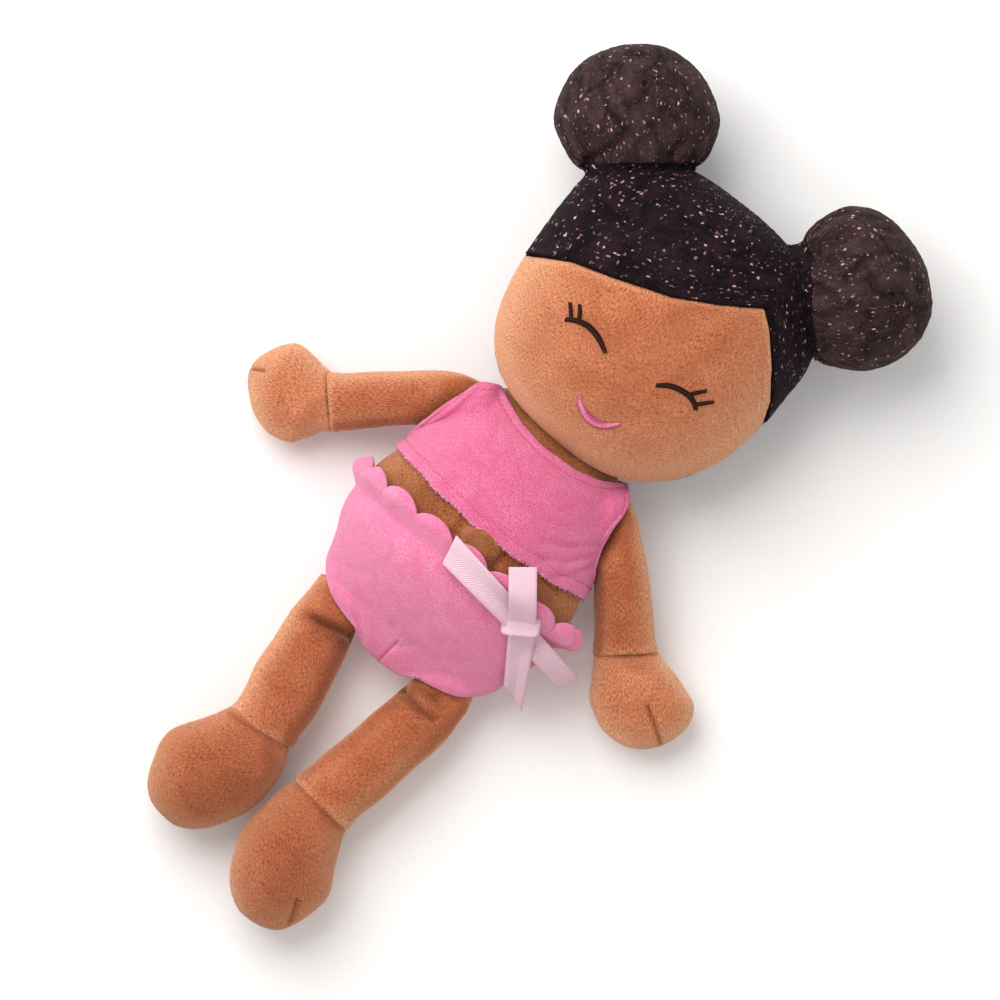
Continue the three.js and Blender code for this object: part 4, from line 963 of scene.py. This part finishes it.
eye_lines = {
    "right": [
        (
            [(-26.5, 70.9), (-23.4, 72.9), (-19.5, 74.1), (-16.5, 74.1), (-13.4, 73.5), (-7.4, 70.8)],
            [1.7, 2.3, 2.5, 2.4, 1.6],
        ),
        ([(-24.9, 72.2), (-27.2, 74.8), (-29.5, 77.0)], [1.7, 1.6, 1.1]),
        ([(-22.2, 73.4), (-24.0, 76.2), (-25.9, 78.4)], [1.7, 1.6, 1.1]),
    ],
    "left": [
        (
            [(15.1, 73.4), (18.7, 76.2), (23.2, 77.8), (27.2, 78.1), (30.2, 77.2), (32.4, 75.5)],
            [1.6, 2.3, 2.5, 2.4, 1.8],
        ),
        ([(26.5, 78.3), (28.8, 81.3), (30.8, 83.7)], [1.7, 1.6, 1.1]),
        ([(30.8, 77.2), (33.2, 79.8), (35.4, 82.2)], [1.7, 1.6, 1.1]),
    ],
}
for side, lines in eye_lines.items():
    threads = [thread for line, widths in lines for thread in satin_stitches(line, widths, 0.35)]
    eye = grid_piece(f"{side}_eye_stitches", threads, [eye_thread])
    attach(eye, "head")
    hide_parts(f"{side}_eye_embroidery")

# The same rayon in rose, in longer stitches whose painted highlight spreads more evenly
mouth_thread = rayon("rayon embroidery thread, rose", "#BA4C72", "#EA8EAA", 2.4)
mouth_line = [(-4.4, 52.2), (-2.5, 50.2), (0.3, 48.9), (3.7, 48.2), (7.1, 48.5), (11.0, 50.7), (14.0, 53.9)]
mouth_widths = [1.0, 2.4, 3.4, 3.7, 3.3, 2.2, 1.0]
mouth = grid_piece("mouth_stitches", satin_stitches(mouth_line, mouth_widths, 0.2), [mouth_thread])
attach(mouth, "head")
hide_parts("mouth_embroidery")


# Top
# A sleeveless top of pink velour, a front and a back panel sewn at the sides and shoulders. The neckline and
# armholes are turned under and stitched 3.3 mm in; the hem is stitched 4.5 mm up and its cut edge frays.


def velour(name, dark, middle, light, sheen, painted_sheen_share=0.22):
    """Cotton velour of the doll's clothes in three tones of one dye, with its nap and a painted sheen where it
    curves away.
    """
    material, tree, shader = new_finish(
        name,
        {
            "Roughness": 0.85,
            "Specular IOR Level": 0.15,
            "Sheen Weight": 0.45,
            "Sheen Roughness": 0.4,
            "Sheen Tint": linear(sheen),
        },
    )
    patches, strokes = brushed_pile(
        tree,
        (9, {"Detail": 3.0, "Roughness": 0.6, "Distortion": 0.8}),
        (0.55, 1.1, {"Detail": 2.0, "Roughness": 0.6}),
    )[1:]
    patch_tone = add(tree, "MapRange", {"Value": patches, "From Min": 0.3, "From Max": 0.7}).outputs["Result"]
    stroke_tone = add(tree, "MapRange", {"Value": strokes, "From Min": 0.3, "From Max": 0.7}).outputs["Result"]
    patch_colour = add(
        tree, "Mix", {0: patch_tone, 6: linear(middle), 7: linear(light)}, data_type="RGBA"
    ).outputs[2]
    colour = add(tree, "Mix", {0: stroke_tone, 6: linear(dark), 7: patch_colour}, data_type="RGBA").outputs[2]
    # Where the surface turns away it is painted towards the sheen colour, as painted sheen
    turned = add(tree, "Attribute", {}, attribute_name="turned").outputs["Fac"]
    away = add(
        tree, "MapRange", {"Value": turned, "From Min": 0.08, "From Max": 0.6, "To Max": painted_sheen_share}
    ).outputs["Result"]
    colour = add(tree, "Mix", {0: away, 6: colour, 7: linear(sheen)}, data_type="RGBA").outputs[2]
    tree.links.new(colour, shader.inputs["Base Color"])
    nap = add(tree, "Bump", {"Height": strokes, "Strength": 0.7, "Distance": 0.0005}).outputs["Normal"]
    tree.links.new(nap, shader.inputs["Normal"])
    return material


# Cotton velour: a cut loop pile about 1 mm long that drinks the light face on, with a painted sheen at its edges.
# The nap shows as strokes of about 0.5 by 1 mm and as brushed patches about 9 mm across.
top_velour = velour("cotton velour, rose pink", "#C7547C", "#E26D95", "#EC85AB", "#F8B3CF")

# Along a cut edge the pile stands loose and takes the light, so it shows paler
loose_pile = velour("loose velour pile, pale rose", "#E6749E", "#F592B6", "#FFB4D0", "#FFD2E2")

# The knitted back of the velour has no pile: fine ribs 1.2 mm apart, drawn coarser than they are to show
knit_back, tree, shader = new_finish(
    "knitted velour back, rose", {"Roughness": 0.9, "Specular IOR Level": 0.1}
)
pile = add(tree, "UVMap", {}, uv_map="pile").outputs["UV"]
ribs = add(
    tree, "TexWave", {"Vector": pile, "Scale": 1 / 3.8, "Distortion": 0.6}, bands_direction="X"
).outputs["Fac"]
rib_colour = add(tree, "Mix", {0: ribs, 6: linear("#B4567E"), 7: linear("#D0769C")}, data_type="RGBA").outputs[2]
tree.links.new(rib_colour, shader.inputs["Base Color"])
rib_bump = add(tree, "Bump", {"Height": ribs, "Strength": 0.5, "Distance": 0.0004}).outputs["Normal"]
tree.links.new(rib_bump, shader.inputs["Normal"])


def sheet_rows(rows, thickness):
    """Closed rings round a sheet of cloth: its face, its back and a rounded rim."""
    normal = facing(rows)
    along, across = unit(np.gradient(rows, axis=0)), unit(np.gradient(rows, axis=1))
    face, back = rows + normal * thickness / 2, rows - normal * thickness / 2
    left = rows[:, :1] - across[:, :1] * 0.4 * thickness
    right = rows[:, -1:] + across[:, -1:] * 0.4 * thickness
    ring = np.concatenate([left, face, right, back[:, ::-1]], axis=1)
    ends = []
    for row, step in ((0, -0.4), (-1, 0.4)):
        rim = (rows[row] + along[row] * step * thickness)[None]
        ends.append(np.concatenate([left[row][None], rim, right[row][None], rim[:, ::-1]], axis=1))
    return np.concatenate([ends[0], ring, ends[1]])


def running_stitch(line, rise, length):
    """Stitches of that length along a line of points, 0.3 mm apart and each arched a little over the cloth."""
    gap, radius = 0.3, 0.2
    run = run_along(line)
    stitches = []
    for stop in np.arange(0.5, run[-1] - length, length + gap):
        t = np.linspace(0, 1, 6)
        path = np.stack([np.interp(stop + t * length, run, line[:, k]) for k in range(3)], axis=1)
        path = path + rise * np.sin(np.pi * t)[:, None] * np.array([0, 0, 1])
        stitches.append(tube_rows(path, radius, 6))
    return stitches


def limb_skin(shapes, height, fall, x, y, face):
    """How far the limbs' skin reaches to the front (or the back) at plan points, far below where there is none."""
    nothing = -200.0
    reach = np.full(x.shape, nothing)
    for shape in shapes.values():
        ahead, off = np.array(shape["ahead"]), np.stack([x, y], axis=-1) - np.array(shape["start"])
        along, side = off @ ahead, off @ np.array([-ahead[1], ahead[0]])
        table = np.array(shape["cover"])
        shift, half, deep = [np.interp(along, table[:, 0], table[:, k]) for k in (1, 2, 3)]
        share = np.clip(1 - ((side - shift) / half) ** 2, 0, 1)
        on_limb = (share > 0) & (along > table[0, 0]) & (along < table[-1, 0])
        skin = face * (height - fall * along) + deep * np.sqrt(share)
        reach = np.maximum(reach, np.where(on_limb, skin, nothing))
    return reach


def draped(cloth, under, reach):
    """Heights of a cloth lifted over what lies under it, eased out by so many steps along and across its grid."""
    lift = np.maximum(under - cloth, 0)
    margin = 30
    wide = np.pad(lift, margin, mode="edge")
    for axis, steps in enumerate(reach):
        wide = np.max([np.roll(wide, k, axis) for k in range(-steps, steps + 1)], axis=0)
        for _ in range(steps * steps // 2):
            wide = (np.roll(wide, 1, axis) + 2 * wide + np.roll(wide, -1, axis)) / 4
    return cloth + wide[margin:-margin, margin:-margin]


top_levels = [
    (-11, 46.2, 32.6, 33.1), (-4, 44.8, 32.0, 32.4), (5.5, 42.8, 30.0, 29.7), (16, 39.9, 27.0, 27.6),
    (22.5, 38.6, 24.2, 26.5), (30, 37.2, 18.6, 25.4), (35.5, 35.0, 14.6, 25.0), (39.5, 31.5, 12.0, 25.0),
]
neck_front = [(30.4, 38.8), (22, 33.0), (12, 29.9), (-2.4, 28.7), (-14, 30.7), (-23, 34.0), (-29.7, 36.7)]
neck_back = [(30.4, 38.8), (22, 35.2), (12, 34.0), (0, 33.6), (-12, 34.0), (-22, 34.9), (-29.7, 36.7)]
left_armhole = [(44.4, 0.6), (43.2, 3.8), (39.6, 9.8), (37.2, 15.5), (35.9, 24), (35.8, 31.5), (34.6, 34.6)]
right_armhole = [
    (-35.4, 33.8), (-36.7, 31.4), (-38.8, 25), (-40.4, 19.4), (-42.0, 13.6), (-43.4, 7.6), (-44.4, 0.2),
]
top_folds = [
    ([(37, 9), (31, 1), (24, -3)], 0.9, 1.5),
    ([(36, 14), (28, 6), (20, 2)], 0.9, 1.5),
    ([(39.5, 6), (36, -1), (31, -6)], 0.9, 1.5),
]
hem_stitch, neck_stitch, velour_thickness = 4.5, 3.3, 1.3
hem_half, hem_middle, top_columns = 44.9, -9.2, 210
rng = np.random.default_rng(4)

# Polyester sewing thread a shade deeper than the velour, so that its sunk stitches show: turns 1.5 mm apart
top_thread, tree, shader = new_finish(
    "polyester sewing thread, rose", {"Roughness": 0.5, "Specular IOR Level": 0.3}
)
lay = add(tree, "UVMap", {}, uv_map="pile").outputs["UV"]
ply = add(
    tree, "TexWave", {"Vector": lay, "Scale": 1 / 2.4, "Distortion": 0.0}, bands_direction="DIAGONAL"
).outputs["Fac"]
tone = add(tree, "Mix", {0: ply, 6: linear("#B23E74"), 7: linear("#CC5A8E")}, data_type="RGBA").outputs[2]
tree.links.new(tone, shader.inputs["Base Color"])
for panel, neckline, face in (("front", neck_front, 1), ("back", neck_back, -1)):
    # The upper edge runs up one armhole, round the neck and down the other, and ends a little lower at the back
    edge = np.array(left_armhole + neckline + right_armhole, float)
    edge[[0, -1], 1] -= 1.3 * (face < 0)
    run = run_along(edge)
    marks = np.linspace(0, run[-1], top_columns)
    upper = np.stack([np.interp(marks, run, edge[:, k]) for k in (0, 1)], axis=1)
    blur = np.array([1, 2, 3, 2, 1]) / 9
    for k in (0, 1):
        upper[2:-2, k] = np.convolve(upper[:, k], blur, mode="valid")
    armhole_ends = (run[len(left_armhole) - 1], run[len(left_armhole) + len(neckline)])
    hem_angle = np.interp(
        marks, [0, armhole_ends[0], armhole_ends[1], run[-1]], np.radians([0.5, 41, 139, 179.5])
    )
    # The hem rises towards the sides, and in front it waves a little
    hem_x = hem_half * np.cos(hem_angle)
    hem_y = hem_middle + 5.0 * np.abs(hem_x / 47.5) ** 2.2 + 0.35 * np.sin(hem_x * 0.35) * (face > 0)
    share = np.concatenate([[0, 0.012, 0.03], np.linspace(0.05, 0.95, 46), [0.97, 0.988, 1.0]])[:, None]
    x = hem_x + (upper[:, 0] - hem_x) * share
    y = hem_y + (upper[:, 1] - hem_y) * share
    # Between the two the cloth follows the chest and lies over the roots of the arms
    half_width, half_depth, middle = np.moveaxis(through(top_levels, y), -1, 0)
    bulge = np.clip(1 - (x / half_width) ** 2, 0, 1) ** (side_seam_edge / 2)
    rows = np.stack([x, y, middle + face * (half_depth - velour_thickness / 2) * bulge], axis=-1)
    over_arms = limb_skin(arm_shapes, arm_height, arm_fall, x, y, face) + velour_thickness / 2 + 1.0
    rows[..., 2] = face * draped(face * rows[..., 2], over_arms, (4, 4))
    if face < 0:
        rows = rows[:, ::-1]
    normal = facing(rows)
    # The stitches press the cloth in, and its turned edges stand up beside them
    from_hem = run_along(rows)
    from_top = from_hem[-1] - from_hem
    press = 0.5 * near(from_hem - hem_stitch, 0.6) - 0.5 * near(from_hem, 3.0)
    press += 0.5 * near(from_top - neck_stitch, 0.6) - 0.3 * near(from_top - 1.4, 1.2)
    rows = uneven(rows - normal * press[..., None], normal, (11, 0.45, 30 + face), (1.5, 0.12, 32 + face))
    if face > 0:
        rows = creased(rows, normal, top_folds)
    else:
        rows = pressed_flat(rows, 0.8, 0.5)
    cloth = grid_piece(
        f"top_{panel}_velour",
        [sheet_rows(rows, velour_thickness)],
        [top_velour, knit_back],
        back_from=top_columns + 2,
    )
    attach(cloth, "torso")
    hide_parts(f"top_{panel}_panel")
    outwards = unit(np.gradient(rows, axis=0))
    tufts = frayed(rows[0], -outwards[0], normal[0], 2.1, 0.2, rng)
    tufts += frayed(rows[-1], outwards[-1], normal[-1], 0.8, 0.4, rng)
    fray = grid_piece(f"top_{panel}_fray", tufts, [loose_pile])
    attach(fray, "torso")
    threads = []
    for off, line, length, ends in ((from_hem, hem_stitch, 2.4, 7), (from_top, neck_stitch, 2.2, 9)):
        at, each = np.argmin(np.abs(off - line), axis=0), np.arange(top_columns)
        seam = rows[at, each] + normal[at, each] * (velour_thickness / 2 - 0.05)
        threads += running_stitch(seam[ends:-ends], 0.08 * face, length)
    stitches = grid_piece(f"top_{panel}_stitching", threads, [top_thread])
    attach(stitches, "torso")


# Bottoms
# Short bottoms of a finer pink velour, gathered on an elastic at the waist. Above the elastic the cut edge
# stands off the belly in a frill of scallops, and the two legs are left open at the hips.

# A finer velour than the top's: paler in itself, and with only a little painted sheen where it curves away
bottoms_velour = velour("cotton velour, candy pink", "#DC6E96", "#EE83A8", "#F59EBF", "#FCC6DC", 0.12)
elastic_line, frill_top, frill_valley, frill_flare = -26.5, -16.3, -20.8, 5.6
scallop_valleys = [-14, 12, 34.5, 58.7, 77.8, 96.6, 117, 138.6, 161, 194]
opening = [(0, -58.4), (20, -61.6), (36, -65.2), (55, -68.6), (68, -70.8), (90, -71.8)]
bottoms_ease, bottoms_columns = 1.2, 260
bottoms_folds = [
    ([(1.6, -62), (1.2, -65), (0.8, -71)], 1.3, 0.8),
    ([(-4, -58.5), (1.2, -64)], 0.5, 1.4),
    ([(7, -58.5), (2.4, -64)], 0.5, 1.4),
    ([(-35, -53), (-24, -50)], 0.5, 2.2),
    ([(36, -54), (26, -51)], 0.5, 2.2),
]


def frill_stand(above, across):
    """How far the frill stands off, by its share of the height and its place from side (-1) to side (1)."""
    side = np.abs(across) ** 1.5
    rise = np.clip(above * (1.15 + 0.6 * side), 0, 1)
    stand = rise**2 * (3 - 2 * rise) - 0.9 * np.clip(above - 0.6, 0, 1) ** 2
    return (frill_flare + 1.1 * across) * stand * (0.55 + 0.45 * side)


for panel, face in (("front", 1), ("back", -1)):
    # Scallops of the frill, each between two valleys
    degrees = np.linspace(0, 180, bottoms_columns)
    turn = np.radians(degrees)
    cell = np.clip(np.searchsorted(scallop_valleys, degrees) - 1, 0, len(scallop_valleys) - 2)
    edges = np.array(scallop_valleys, float)
    within = (degrees - edges[cell]) / (edges[cell + 1] - edges[cell])
    scallop = np.sin(np.pi * within) ** 0.62
    # The cloth runs from the leg openings up to the elastic, and on in the frill
    low = through(opening, np.minimum(degrees, 180 - degrees))[..., 0]
    up_share = np.concatenate([[0, 0.012, 0.03], np.linspace(0.06, 1, 40)])[:, None]
    lower_y = low + (elastic_line - low) * up_share
    frill_share = np.concatenate([np.linspace(0, 0.9, 15)[1:], [0.95, 1.0]])[:, None]
    edge_y = frill_valley + (frill_top - frill_valley) * scallop + 1.6 * np.abs(np.cos(turn)) ** 8
    upper_y = elastic_line + (edge_y - elastic_line) * frill_share
    y = np.concatenate([lower_y, upper_y])
    above = np.clip((y - elastic_line) / (frill_top - elastic_line), 0, 1)
    below = np.clip((elastic_line - y) / 40, 0, 1)
    # The frill stands off and falls back in at the sides, and the elastic draws the cloth in below it
    flare = frill_stand(above, np.cos(turn)) * (0.75 + 0.25 * scallop)
    flare = flare + 0.5 * above * np.cos(2 * np.pi * within + np.pi)
    rising = np.clip((y - elastic_line) / (edge_y - elastic_line), 0, 1)
    flare = flare - 3.4 * np.abs(np.cos(turn)) ** 4.5 * np.clip((rising - 0.55) / 0.45, 0, 1) ** 2
    drawn_in = -0.25 * near(y - elastic_line, 2.6)
    gathers = 0.07 * near(y - elastic_line, 6.5) * np.sin(turn * 46 + 1.6 * np.sin(turn * 9) + 0.05 * y)
    slack = 0.4 * np.sin(np.pi * np.clip(below * 1.4, 0, 1)) - 0.4 * near(y - low, 2.5)
    grow = bottoms_ease + velour_thickness / 2 + flare + drawn_in + gathers + slack
    rows = body_points(y, face * turn + 0 * y, grow, side_seam_edge - 0.3 * np.clip(above * 2, 0, 1))
    half_depth, middle = body_section(y, grow)[1:]
    # Between the legs it rounds off, and it lies over their roots
    crotch = np.clip((-58.5 - y) / 14, 0, 0.95)
    rounded = np.where(crotch > 0, (12.5 + grow) * (1 - crotch) ** 0.75 / half_depth, 1)
    rows[..., 2] = middle + (rows[..., 2] - middle) * rounded
    over_legs = limb_skin(leg_shapes, leg_height, 0, rows[..., 0], rows[..., 1], face) + velour_thickness / 2 + 0.8
    rows[..., 2] = face * draped(face * rows[..., 2], over_legs, (4, 12))
    if face < 0:
        rows = rows[:, ::-1]
    normal = facing(rows)
    rows = uneven(rows, normal, (16, 0.3, 40 + face), (1.5, 0.08, 42 + face))
    if face > 0:
        rows = creased(rows, normal, bottoms_folds)
    else:
        rows = pressed_flat(rows, 0.8, 0.5)
    cloth = grid_piece(
        f"bottoms_{panel}_velour",
        [sheet_rows(rows, velour_thickness)],
        [bottoms_velour, knit_back],
        back_from=bottoms_columns + 2,
    )
    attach(cloth, "torso")
    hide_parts(f"bottoms_{panel}_panel")
    outwards = unit(np.gradient(rows, axis=0))
    tufts = frayed(rows[-1], outwards[-1], normal[-1], 0.7, 0.35, rng)
    tufts += frayed(rows[0], -outwards[0], normal[0], 0.6, 0.6, rng)
    fray = grid_piece(f"bottoms_{panel}_fray", tufts, [loose_pile])
    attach(fray, "torso")

# Woven elastic: white rubber threads in a cotton weave, whose ribs run round the waist 2 mm apart
elastic, tree, shader = new_finish("woven elastic, white", {"Roughness": 0.8})
spot = add(tree, "TexCoord", {}).outputs["Object"]
ribs = add(
    tree, "TexWave", {"Vector": spot, "Scale": 1000 / 6.28, "Distortion": 0.0}, bands_direction="Y"
).outputs["Fac"]
tone = add(tree, "Mix", {0: ribs, 6: linear("#CFC9C4"), 7: linear("#F2EEEA")}, data_type="RGBA").outputs[2]
tree.links.new(tone, shader.inputs["Base Color"])
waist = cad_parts["waist_elastic"]
waist.data.materials.clear()
waist.data.materials.append(elastic)


# Bow
# A length of pale pink cotton twill tape, 10 mm wide, tied in a bow and caught to the frill at the doll's left
# hip: one long and one short loop, a knot, and two tails, one of them cut on the slant.
tape_thickness, tape_half, ridge_gap = 0.7, 5.3, 1.0

# Herringbone twill: diagonal ridges drawn 1 mm apart, coarser than they are, that turn back along the middle
twill, tree, shader = new_finish(
    "cotton twill tape, pale pink",
    {"Roughness": 0.8, "Specular IOR Level": 0.2, "Sheen Weight": 0.15, "Sheen Tint": linear("#FFE9F0")},
)
lay = add(tree, "UVMap", {}, uv_map="pile").outputs["UV"]
split = add(tree, "SeparateXYZ", {"Vector": lay})
zigzag = add(tree, "Math", {0: split.outputs["X"], 1: tape_half}, operation="PINGPONG").outputs[0]
climb = add(tree, "Math", {0: zigzag, 1: split.outputs["Y"]}, operation="ADD").outputs[0]
turns = add(tree, "Math", {0: climb, 1: 2 * math.pi / ridge_gap}, operation="MULTIPLY").outputs[0]
ridge = add(tree, "Math", {0: turns}, operation="SINE").outputs[0]
height = add(tree, "Math", {0: ridge, 1: 0.5, 2: 0.5}, operation="MULTIPLY_ADD").outputs[0]
tone = add(tree, "Mix", {0: height, 6: linear("#DCA6B8"), 7: linear("#FDE0E8")}, data_type="RGBA").outputs[2]
tree.links.new(tone, shader.inputs["Base Color"])
weave = add(tree, "Bump", {"Height": height, "Strength": 0.6, "Distance": 0.0003}).outputs["Normal"]
tree.links.new(weave, shader.inputs["Normal"])


def bow_bed(x, y):
    """Height of the bottoms' front under a plan point, hanging over in a droop past the doll's side."""
    above = np.clip((y - elastic_line) / (frill_top - elastic_line), 0, 1)
    half_width = body_section(y, bottoms_ease)[0]
    stand = frill_stand(above, np.clip(x / (half_width + 4), -1, 1))
    half_width, half_depth, middle = body_section(y, bottoms_ease + velour_thickness + 1.0 + stand)
    brink = 0.84 * half_width
    inside = np.clip(x, -brink, brink)
    rise = (1 - (inside / half_width) ** 2) ** ((side_seam_edge - 0.3 * np.clip(above * 2, 0, 1)) / 2)
    return middle + half_depth * rise - 0.05 * np.maximum(np.abs(x) - brink, 0) ** 2


def tape_between(start, end, rise, share, across):
    """Points of a tape that lies over the bed from two corners at its start to two at its end."""
    first, second = (np.array(a) + (np.array(b) - a) * share[:, None] for a, b in zip(start, end))
    plan = first[:, None] + (second - first)[:, None] * across[None, :, None]
    bed = bow_bed(plan[..., 0], plan[..., 1])
    level = bed.mean(axis=1, keepdims=True)
    smooth = level + 0.6 * (bed - level)
    return np.concatenate([plan, (smooth + rise[:, None])[..., None]], axis=2)


across = np.linspace(0, 1, 11)
share = np.linspace(0, 1, 30)
strips = []
# Two loops, each out along the bed and back above it
for start, end, low, bulge in [
    ([(28.4, -21.9), (33.9, -31.7)], [(-5.4, -17.0), (-2.8, -28.0)], 0.9, 2.6),
    ([(30.3, -31.0), (37.8, -24.5)], [(16.7, -14.2), (24.5, -7.9)], 1.9, 2.4),
]:
    out = tape_between(start, end, low + 0 * share, share, across)
    back = tape_between(start, end, low + 1.9 + bulge * np.sin(np.pi * share**0.9), share, across)
    tip = []
    for bend in np.linspace(0, np.pi, 9)[1:-1]:
        mix = (1 - math.cos(bend)) / 2
        ahead = unit(np.array([*(np.array(end[0]) - start[0]), 0]))
        tip.append(out[-1] * (1 - mix) + back[-1] * mix + ahead * math.sin(bend))
    strips.append(np.concatenate([out, np.array(tip), back[::-1]]))
# Two tails
for start, end, low in [
    ([(37.0, -25.0), (41.0, -34.3)], [(62.1, -29.4), (59.3, -36.5)], 1.0),
    ([(38.3, -25.0), (30.2, -30.6)], [(54.1, -52.2), (42.9, -49.0)], 2.2),
]:
    strips.append(tape_between(start, end, low + 0.8 * np.sin(np.pi * share), share, across))
grids = [sheet_rows(strip, tape_thickness) for strip in strips]
bow = grid_piece("bow_tape", grids, [twill])
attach(bow, "torso")
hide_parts("ribbon_bow")

# The knot is a band of the same tape, folded to 7.4 mm and wrapped once round the crossing
knot_at, knot_half, knot_high, knot_wide, knot_rise = np.array([33.2, -27.5]), 6.8, 2.4, 3.7, 3.6
knot_turn = math.radians(31)
long_way = np.array([math.cos(knot_turn), math.sin(knot_turn)])
wide_way = np.array([-long_way[1], long_way[0]])
turn = np.linspace(0, 2 * np.pi, 64)
band_along = knot_half * squared(np.cos(turn), 0.7)
band_up = knot_high * squared(np.sin(turn), 0.75)
pinch = 1 - 0.3 * np.abs(np.cos(turn)) ** 4
across = np.linspace(-1, 1, 13)
plan = (
    knot_at
    + band_along[:, None, None] * long_way
    + (knot_wide * pinch[:, None] * across + 0.45 * band_along[:, None] / knot_half)[..., None] * wide_way
)
fall = bow_bed(plan[..., 0], plan[..., 1]).mean(axis=1, keepdims=True)
pillow = 0.45 * (1 - across**2) * np.sign(np.sin(turn))[:, None]
wrinkle = 0.22 * np.sin(across * 5.2 + 0.5 * np.sin(2 * turn)[:, None]) * np.clip(np.sin(turn), 0, 1)[:, None]
rows = np.concatenate([plan, (fall + knot_rise + band_up[:, None] + pillow + wrinkle)[..., None]], axis=2)
core = []
for step in np.linspace(-0.88, 0.88, 13):
    size = 0.86 * (1 - 0.3 * step**2)
    at = knot_at + (size * band_along[:-1, None]) * long_way + knot_wide * step * wide_way
    core.append(np.column_stack([at, fall[:-1, 0] + knot_rise + size * band_up[:-1]]))
# Between its turns the tape's own crossing fills the band
filling = capped(np.array([core[0], *core, core[-1]]))
knot = grid_piece("bow_knot", [sheet_rows(rows, tape_thickness), filling], [twill])
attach(knot, "torso")


# Floor, light and camera
# A white table top lit by one large soft window from the doll's right, with a pale room round it, seen from
# straight above; the doll lies across the view with its head to the upper right.

# Matt white table top: an even white with a faint grain. A little light of its own, for the camera and in
# reflections only, keeps it pale and leaves the shadow on it
floor_white, tree, shader = new_finish("matt white table top", {"Roughness": 1.0, "Specular IOR Level": 0.0})
spot = add(tree, "TexCoord", {}).outputs["Object"]
grain = add(tree, "TexNoise", {"Vector": spot, "Scale": 400.0, "Detail": 2.0}).outputs["Fac"]
tone = add(tree, "Mix", {0: grain, 6: linear("#F4F2F0"), 7: linear("#F8F6F4")}, data_type="RGBA").outputs[2]
tree.links.new(tone, shader.inputs["Base Color"])
rays = add(tree, "LightPath", {})
seen = add(
    tree, "Math", {0: rays.outputs["Is Camera Ray"], 1: rays.outputs["Is Glossy Ray"]}, operation="MAXIMUM"
).outputs[0]
seen = add(tree, "Math", {0: seen, 1: rays.outputs["Is Transmission Ray"]}, operation="MAXIMUM").outputs[0]
glow = add(tree, "Math", {0: seen, 1: 0.03}, operation="MULTIPLY").outputs[0]
tree.links.new(glow, shader.inputs["Emission Strength"])
shader.inputs["Emission Color"].default_value = linear("#FFFFFF")
mesh = bpy.data.meshes.new("floor")
floor_half, floor_level = 3, -0.0003
corners = [(x * floor_half, y * floor_half, floor_level) for x, y in ((-1, -1), (1, -1), (1, 1), (-1, 1))]
mesh.from_pydata(corners, [], [(0, 1, 2, 3)])
mesh.materials.append(floor_white)
floor = bpy.data.objects.new("floor", mesh)
bpy.context.scene.collection.objects.link(floor)

world = bpy.data.worlds.new("pale room")
bpy.context.scene.world = world
world.use_nodes = True
tree = world.node_tree
tree.nodes.clear()
rays = add(tree, "LightPath", {})
room = add(tree, "Background", {"Color": linear("#FFFFFF"), "Strength": 0.66})
backdrop = add(tree, "Background", {"Color": linear("#FFFFFF"), "Strength": 1.0})
mixed = add(tree, "MixShader", {0: rays.outputs["Is Camera Ray"], 1: room.outputs[0], 2: backdrop.outputs[0]})
add(tree, "OutputWorld", {"Surface": mixed.outputs[0]})

window = bpy.data.lights.new("window", "AREA")
window.shape, window.size, window.size_y, window.energy = "RECTANGLE", 1.0, 1.0, 14.5
lamp = bpy.data.objects.new("window", window)
lamp.location = (-0.7, 0.25, 1.05)
lamp.rotation_euler = (Vector((0, 0, 0.03)) - lamp.location).to_track_quat("-Z", "Y").to_euler()
bpy.context.scene.collection.objects.link(lamp)

lens = bpy.data.cameras.new("camera")
lens.lens, lens.sensor_width = 288, 36
camera = bpy.data.objects.new("camera", lens)
doll_middle, camera_distance = 0.035, 3.0
camera.location = (-0.0026, 0.00375, doll_middle + camera_distance)
camera.rotation_euler = (0, 0, math.radians(39.5))
bpy.context.scene.collection.objects.link(camera)
bpy.context.scene.camera = camera
bpy.context.scene.view_settings.view_transform = "Standard"
